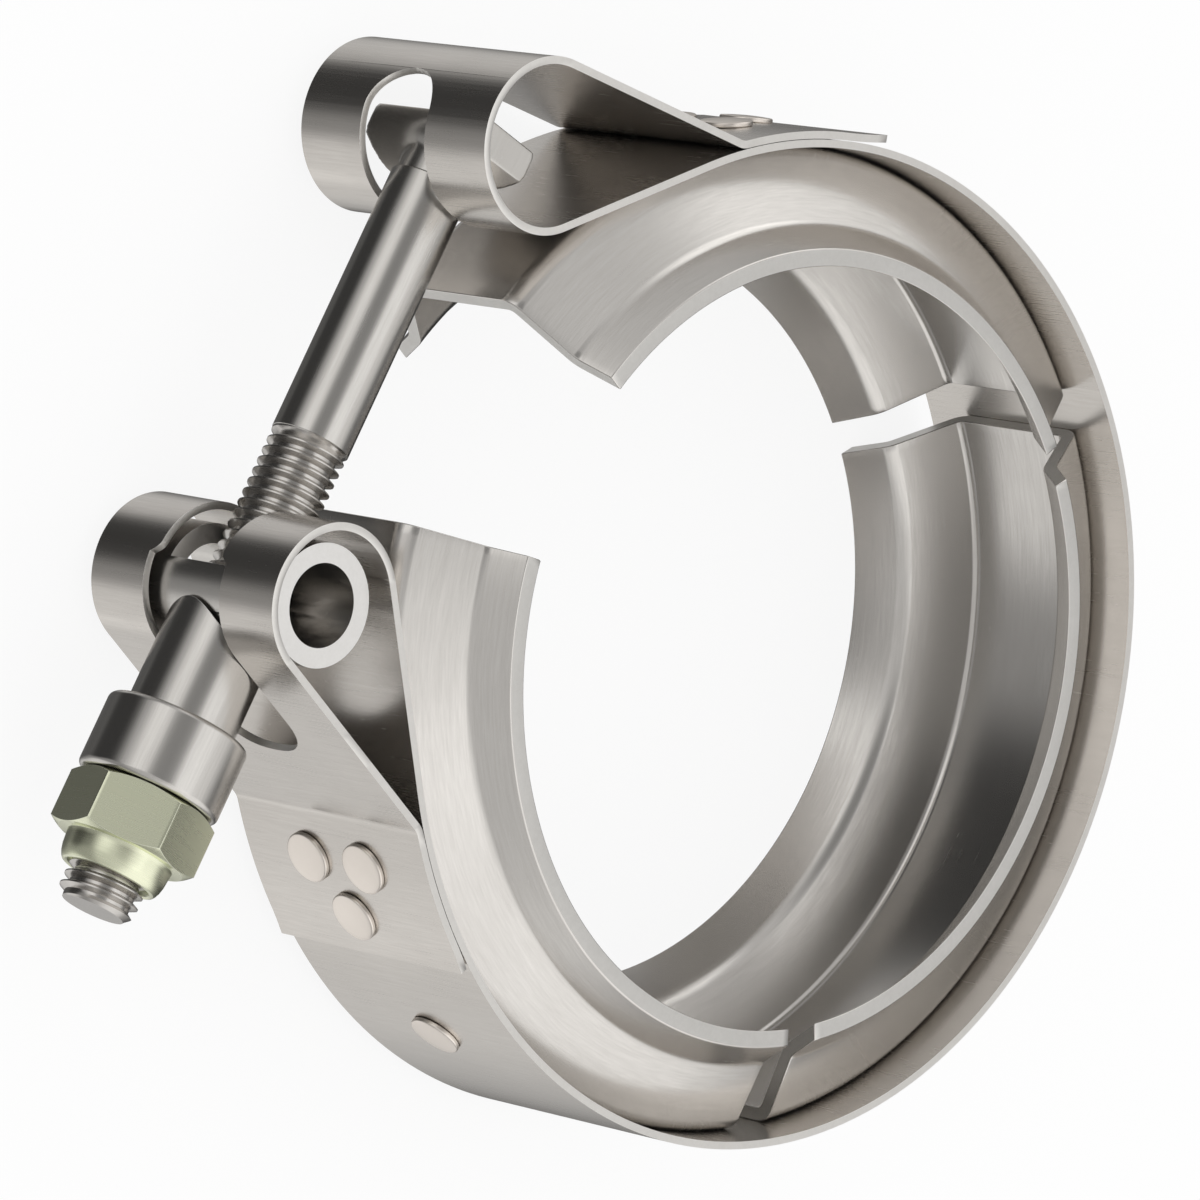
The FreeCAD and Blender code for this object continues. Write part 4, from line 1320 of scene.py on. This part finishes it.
@dataclass
class SaddleSleeve(Latch):
    """The sleeve that bears on the trunnion, coped round it, with the nut's collar."""

    cope: float = 5.05
    outer: float = 4.36
    bore: float = 3.275
    collar: float = 5.75
    collar_start: float = 11.3
    collar_end: float = 17.45
    collar_round: float = 0.5
    bore_chamfer: float = 0.15
    steps: int = 120
    edge_round: float = 0.08

    def coped(self, radius: float) -> Row:
        """The coped end at a radius.

        Args:
            radius: Radius from the bolt's axis.

        Returns:
            The row of the coped end.
        """
        def row(turn: float) -> Spot:
            """Length and radius at an angle."""
            across = radius * math.cos(math.radians(turn))
            return math.sqrt(self.cope ** 2 - across ** 2), radius
        return row

    def build(self) -> None:
        """Turns the sleeve."""
        rows = [self.coped(self.outer)]
        profile = [(self.collar_start, self.outer)]
        bend = self.collar_round
        for centre, first in ((self.collar_start + bend, 180), (self.collar_end - bend, 90)):
            for turn in range(first, first - 91, -15):
                arm = unit(turn) * bend
                profile.append((centre + arm.x, self.collar - bend + arm.y))
        profile += [(self.collar_end, self.bore + self.bore_chamfer),
                    (self.collar_end - self.bore_chamfer, self.bore)]
        rows += fixed_rows(profile) + [self.coped(self.bore)]
        draft = MeshDraft().lathe(rows, self.steps, closed=True)
        piece = draft.build("saddle_sleeve_formed", self.place(self.trunnion),
                            (BOLT_FACE, BOLT_EDGE))
        crisp_edges(piece, self.edge_round)
        mount(piece, Body.SLEEVE, "bolt_steel", "saddle_sleeve")


@dataclass
class LockNut(Latch):
    """The lock nut: a hexagon with chamfered corners and a crimped crown."""

    start: float = 17.55
    flat: float = 5.15
    phase: float = 16.0
    height: float = 4.7
    chamfer: float = 0.45
    bore: float = 3.185
    bore_end: float = 6.4
    face_inset: float = 0.02
    steps: int = 180
    crown: Tuple[Spot, ...] = ((4.7, 4.32), (5.1, 4.27), (5.9, 4.2), (6.4, 4.08), (6.75, 3.92),
                               (6.93, 3.78), (7.0, 3.6), (6.9, 3.4), (6.6, 3.22))
    edge_round: float = 0.08

    def hexagon(self, turn: float) -> float:
        """Distance of the hexagon's side from the axis."""
        return self.flat / math.cos(math.radians((turn + self.phase) % 60 - 30))

    def shoulder(self, level: float, way: int) -> Row:
        """The curved line where a chamfer cone meets the sides.

        Args:
            level: Length along X of the nut's face.
            way: 1 from the first face, -1 from the last.

        Returns:
            The row of the line.
        """
        corner = self.flat / math.cos(math.radians(30)) - self.flat

        def row(turn: float) -> Spot:
            """Length and radius at an angle."""
            side = self.hexagon(turn)
            return level + way * self.chamfer * (side - self.flat) / corner, side
        return row

    def build(self) -> None:
        """Turns the nut with its six sides."""
        top = self.start + self.height
        face = self.flat - self.face_inset
        rows = fixed_rows([(self.start, self.bore), (self.start, face)])
        rows += [self.shoulder(self.start, 1), self.shoulder(top, -1)]
        rows += fixed_rows([(top, face)])
        rows += fixed_rows([(self.start + spot[0], spot[1]) for spot in self.crown])
        rows += fixed_rows([(self.start + self.bore_end, self.bore)])
        draft = MeshDraft().lathe(rows, self.steps, closed=True)
        piece = draft.build("lock_nut_formed", self.place(self.trunnion), (NUT_FACE, NUT_EDGE))
        crisp_edges(piece, self.edge_round, angle=25.0)
        mount(piece, Body.NUT, "nut_plating", "lock_nut")


@dataclass(frozen=True)
class Card:
    """One soft light or dark card that the metal sees, by its direction."""

    direction: Triple
    rim: float
    core: float
    level: float


@dataclass
class Studio:
    """Camera, lamp, floor and surroundings."""

    camera_place: Triple = (-109.886, -443.704, 455.188)
    right: Triple = (0.0, 0.72459, 0.68917)
    up: Triple = (-0.98602, 0.11478, -0.12068)
    lens: float = 240.03
    sensor: float = 36.0
    clip: Spot = (10.0, 20000.0)
    floor_level: float = -12.35
    floor_size: float = 4000.0
    floor_tone: float = 0.9
    floor_glow: float = 0.88
    horizon: Spot = (-0.12, 0.12)
    sky: float = 0.6
    ground: float = 0.32
    white: Tuple[float, float, float, float] = (1.0, 1.0, 1.0, 1.0)
    mirrored_tint: Tuple[float, float, float, float] = (1.0, 0.99, 0.975, 1.0)
    lamp_place: Triple = (-75.0, 100.0, 485.0)
    lamp_size: float = 300.0
    lamp_power: float = 0.13
    dark_cards: Tuple[Card, ...] = (
        Card((-0.48, -0.28, 0.83), 0.90, 0.98, 0.42),
        Card((0.30, 0.93, 0.05), 0.74, 0.95, 0.25),
        Card((-0.72, -0.656, -0.224), 0.90, 0.98, 0.25),
        Card((-0.573, -0.402, -0.714), 0.86, 0.96, 0.14),
        Card((0.351, 0.719, -0.60), 0.80, 0.95, 0.2),
        Card((-0.17, 0.18, -0.97), 0.90, 0.98, 0.35),
    )
    light_cards: Tuple[Card, ...] = (
        Card((0.486, -0.503, -0.714), 0.88, 0.975, 0.52),
        Card((0.676, 0.181, -0.714), 0.84, 0.965, 0.45),
        Card((-0.57, 0.41, -0.71), 0.90, 0.99, 0.35),
        Card((0.72, 0.05, 0.65), 0.62, 0.93, 0.5),
        Card((0.167, 0.68, 0.714), 0.92, 0.985, 0.2),
        Card((-0.72, -0.66, 0.20), 0.86, 0.97, 0.45),
        Card((-0.77, 0.51, 0.37), 0.93, 0.985, 0.75),
        Card((-0.42, 0.78, 0.457), 0.90, 0.985, 0.4),
        Card((0.10, -0.05, 0.99), 0.93, 0.99, 0.28),
    )

    def add_camera(self) -> None:
        """Places the camera where the photograph was taken from."""
        data = bpy.data.cameras.new("photo_camera")
        data.lens = self.lens
        data.sensor_width = self.sensor
        data.clip_start, data.clip_end = (distance * MM for distance in self.clip)
        camera = bpy.data.objects.new("photo_camera", data)
        right = Vector(self.right).normalized()
        up = Vector(self.up).normalized()
        turn = Matrix((right, up, right.cross(up))).transposed().to_4x4()
        camera.matrix_world = Matrix.Translation(Vector(self.camera_place) * MM) @ turn
        bpy.context.scene.collection.objects.link(camera)
        bpy.context.scene.camera = camera

    def add_floor(self) -> None:
        """A white floor under the lip edges that keeps the clamp's soft shadow."""
        half = self.floor_size / 2
        corners = [Vector((x * half, y * half, self.floor_level)) * MM
                   for x, y in ((-1, -1), (1, -1), (1, 1), (-1, 1))]
        mesh = bpy.data.meshes.new("floor")
        mesh.from_pydata(corners, [], [(0, 1, 2, 3)])
        floor = linked("floor", mesh)
        material = bpy.data.materials.new("white_floor")
        tree = ShaderTree.emptied(material)
        tone = (self.floor_tone, self.floor_tone, self.floor_tone, 1.0)
        matte = tree.node("ShaderNodeBsdfDiffuse", {"Color": tone}).outputs[0]
        glow = tree.node("ShaderNodeEmission").outputs[0]
        clear = tree.node("ShaderNodeBsdfTransparent").outputs[0]
        path = tree.node("ShaderNodeLightPath").outputs
        seen = tree.math("MULTIPLY", path["Is Camera Ray"], self.floor_glow)
        shown = tree.shader_blend(seen, matte, glow)
        surface = tree.shader_blend(path["Is Glossy Ray"], shown, clear)
        tree.node("ShaderNodeOutputMaterial", {"Surface": surface})
        mesh.materials.append(material)

    def card_level(self, tree: ShaderTree, card: Card, plain: float) -> Socket:
        """How far a direction lies on a card, from its plain level outside to its own inside.

        Args:
            tree: The world's nodes.
            card: The card.
            plain: Level outside the card.

        Returns:
            The level of light.
        """
        direction = tree.node("ShaderNodeTexCoord").outputs["Generated"]
        aim = tree.node("ShaderNodeVectorMath",
                        {0: direction, 1: Vector(card.direction).normalized()},
                        operation="DOT_PRODUCT")
        return tree.ramp(aim.outputs["Value"], card.rim, card.core, plain, card.level)

    def add_world(self) -> None:
        """White surroundings, in which the metal also sees dark and light cards."""
        world = bpy.data.worlds.new("studio")
        bpy.context.scene.world = world
        tree = ShaderTree.emptied(world)
        aim = tree.split(tree.node("ShaderNodeTexCoord").outputs["Generated"])
        level = tree.ramp(aim["Z"], *self.horizon, self.ground, self.sky)
        for card in self.dark_cards:
            level = tree.math("MULTIPLY", level, self.card_level(tree, card, 1.0))
        for card in self.light_cards:
            level = tree.math("ADD", level, self.card_level(tree, card, 0.0))
        mirrored = tree.node("ShaderNodeBackground",
                             {"Strength": level, "Color": self.mirrored_tint}).outputs[0]
        white = tree.node("ShaderNodeBackground", {"Color": self.white}).outputs[0]
        path = tree.node("ShaderNodeLightPath").outputs
        surface = tree.shader_blend(path["Is Glossy Ray"], white, mirrored)
        tree.node("ShaderNodeOutputWorld", {"Surface": surface})

    def add_lamp(self) -> None:
        """A weak, soft lamp overhead that faces the clamp."""
        data = bpy.data.lights.new("soft_top", "AREA")
        data.shape = "SQUARE"
        data.size = self.lamp_size * MM
        data.energy = self.lamp_power
        lamp = bpy.data.objects.new("soft_top", data)
        lamp.location = Vector(self.lamp_place) * MM
        lamp.rotation_euler = (-lamp.location).to_track_quat("-Z", "Y").to_euler()
        bpy.context.scene.collection.objects.link(lamp)

    def build(self) -> None:
        """Sets up the whole studio."""
        bpy.context.scene.view_settings.view_transform = "Standard"
        self.add_camera()
        self.add_floor()
        self.add_world()
        self.add_lamp()
        LOG.info("studio ready")


def main() -> None:
    """Builds the pieces and the studio."""
    for part in (Strap(), Retainers(), Rivets(), TBolt(), Trunnion(), SaddleSleeve(), LockNut(),
                 Studio()):
        part.build()


if __name__ == "__main__":
    logging.basicConfig(level=logging.INFO)
    main()
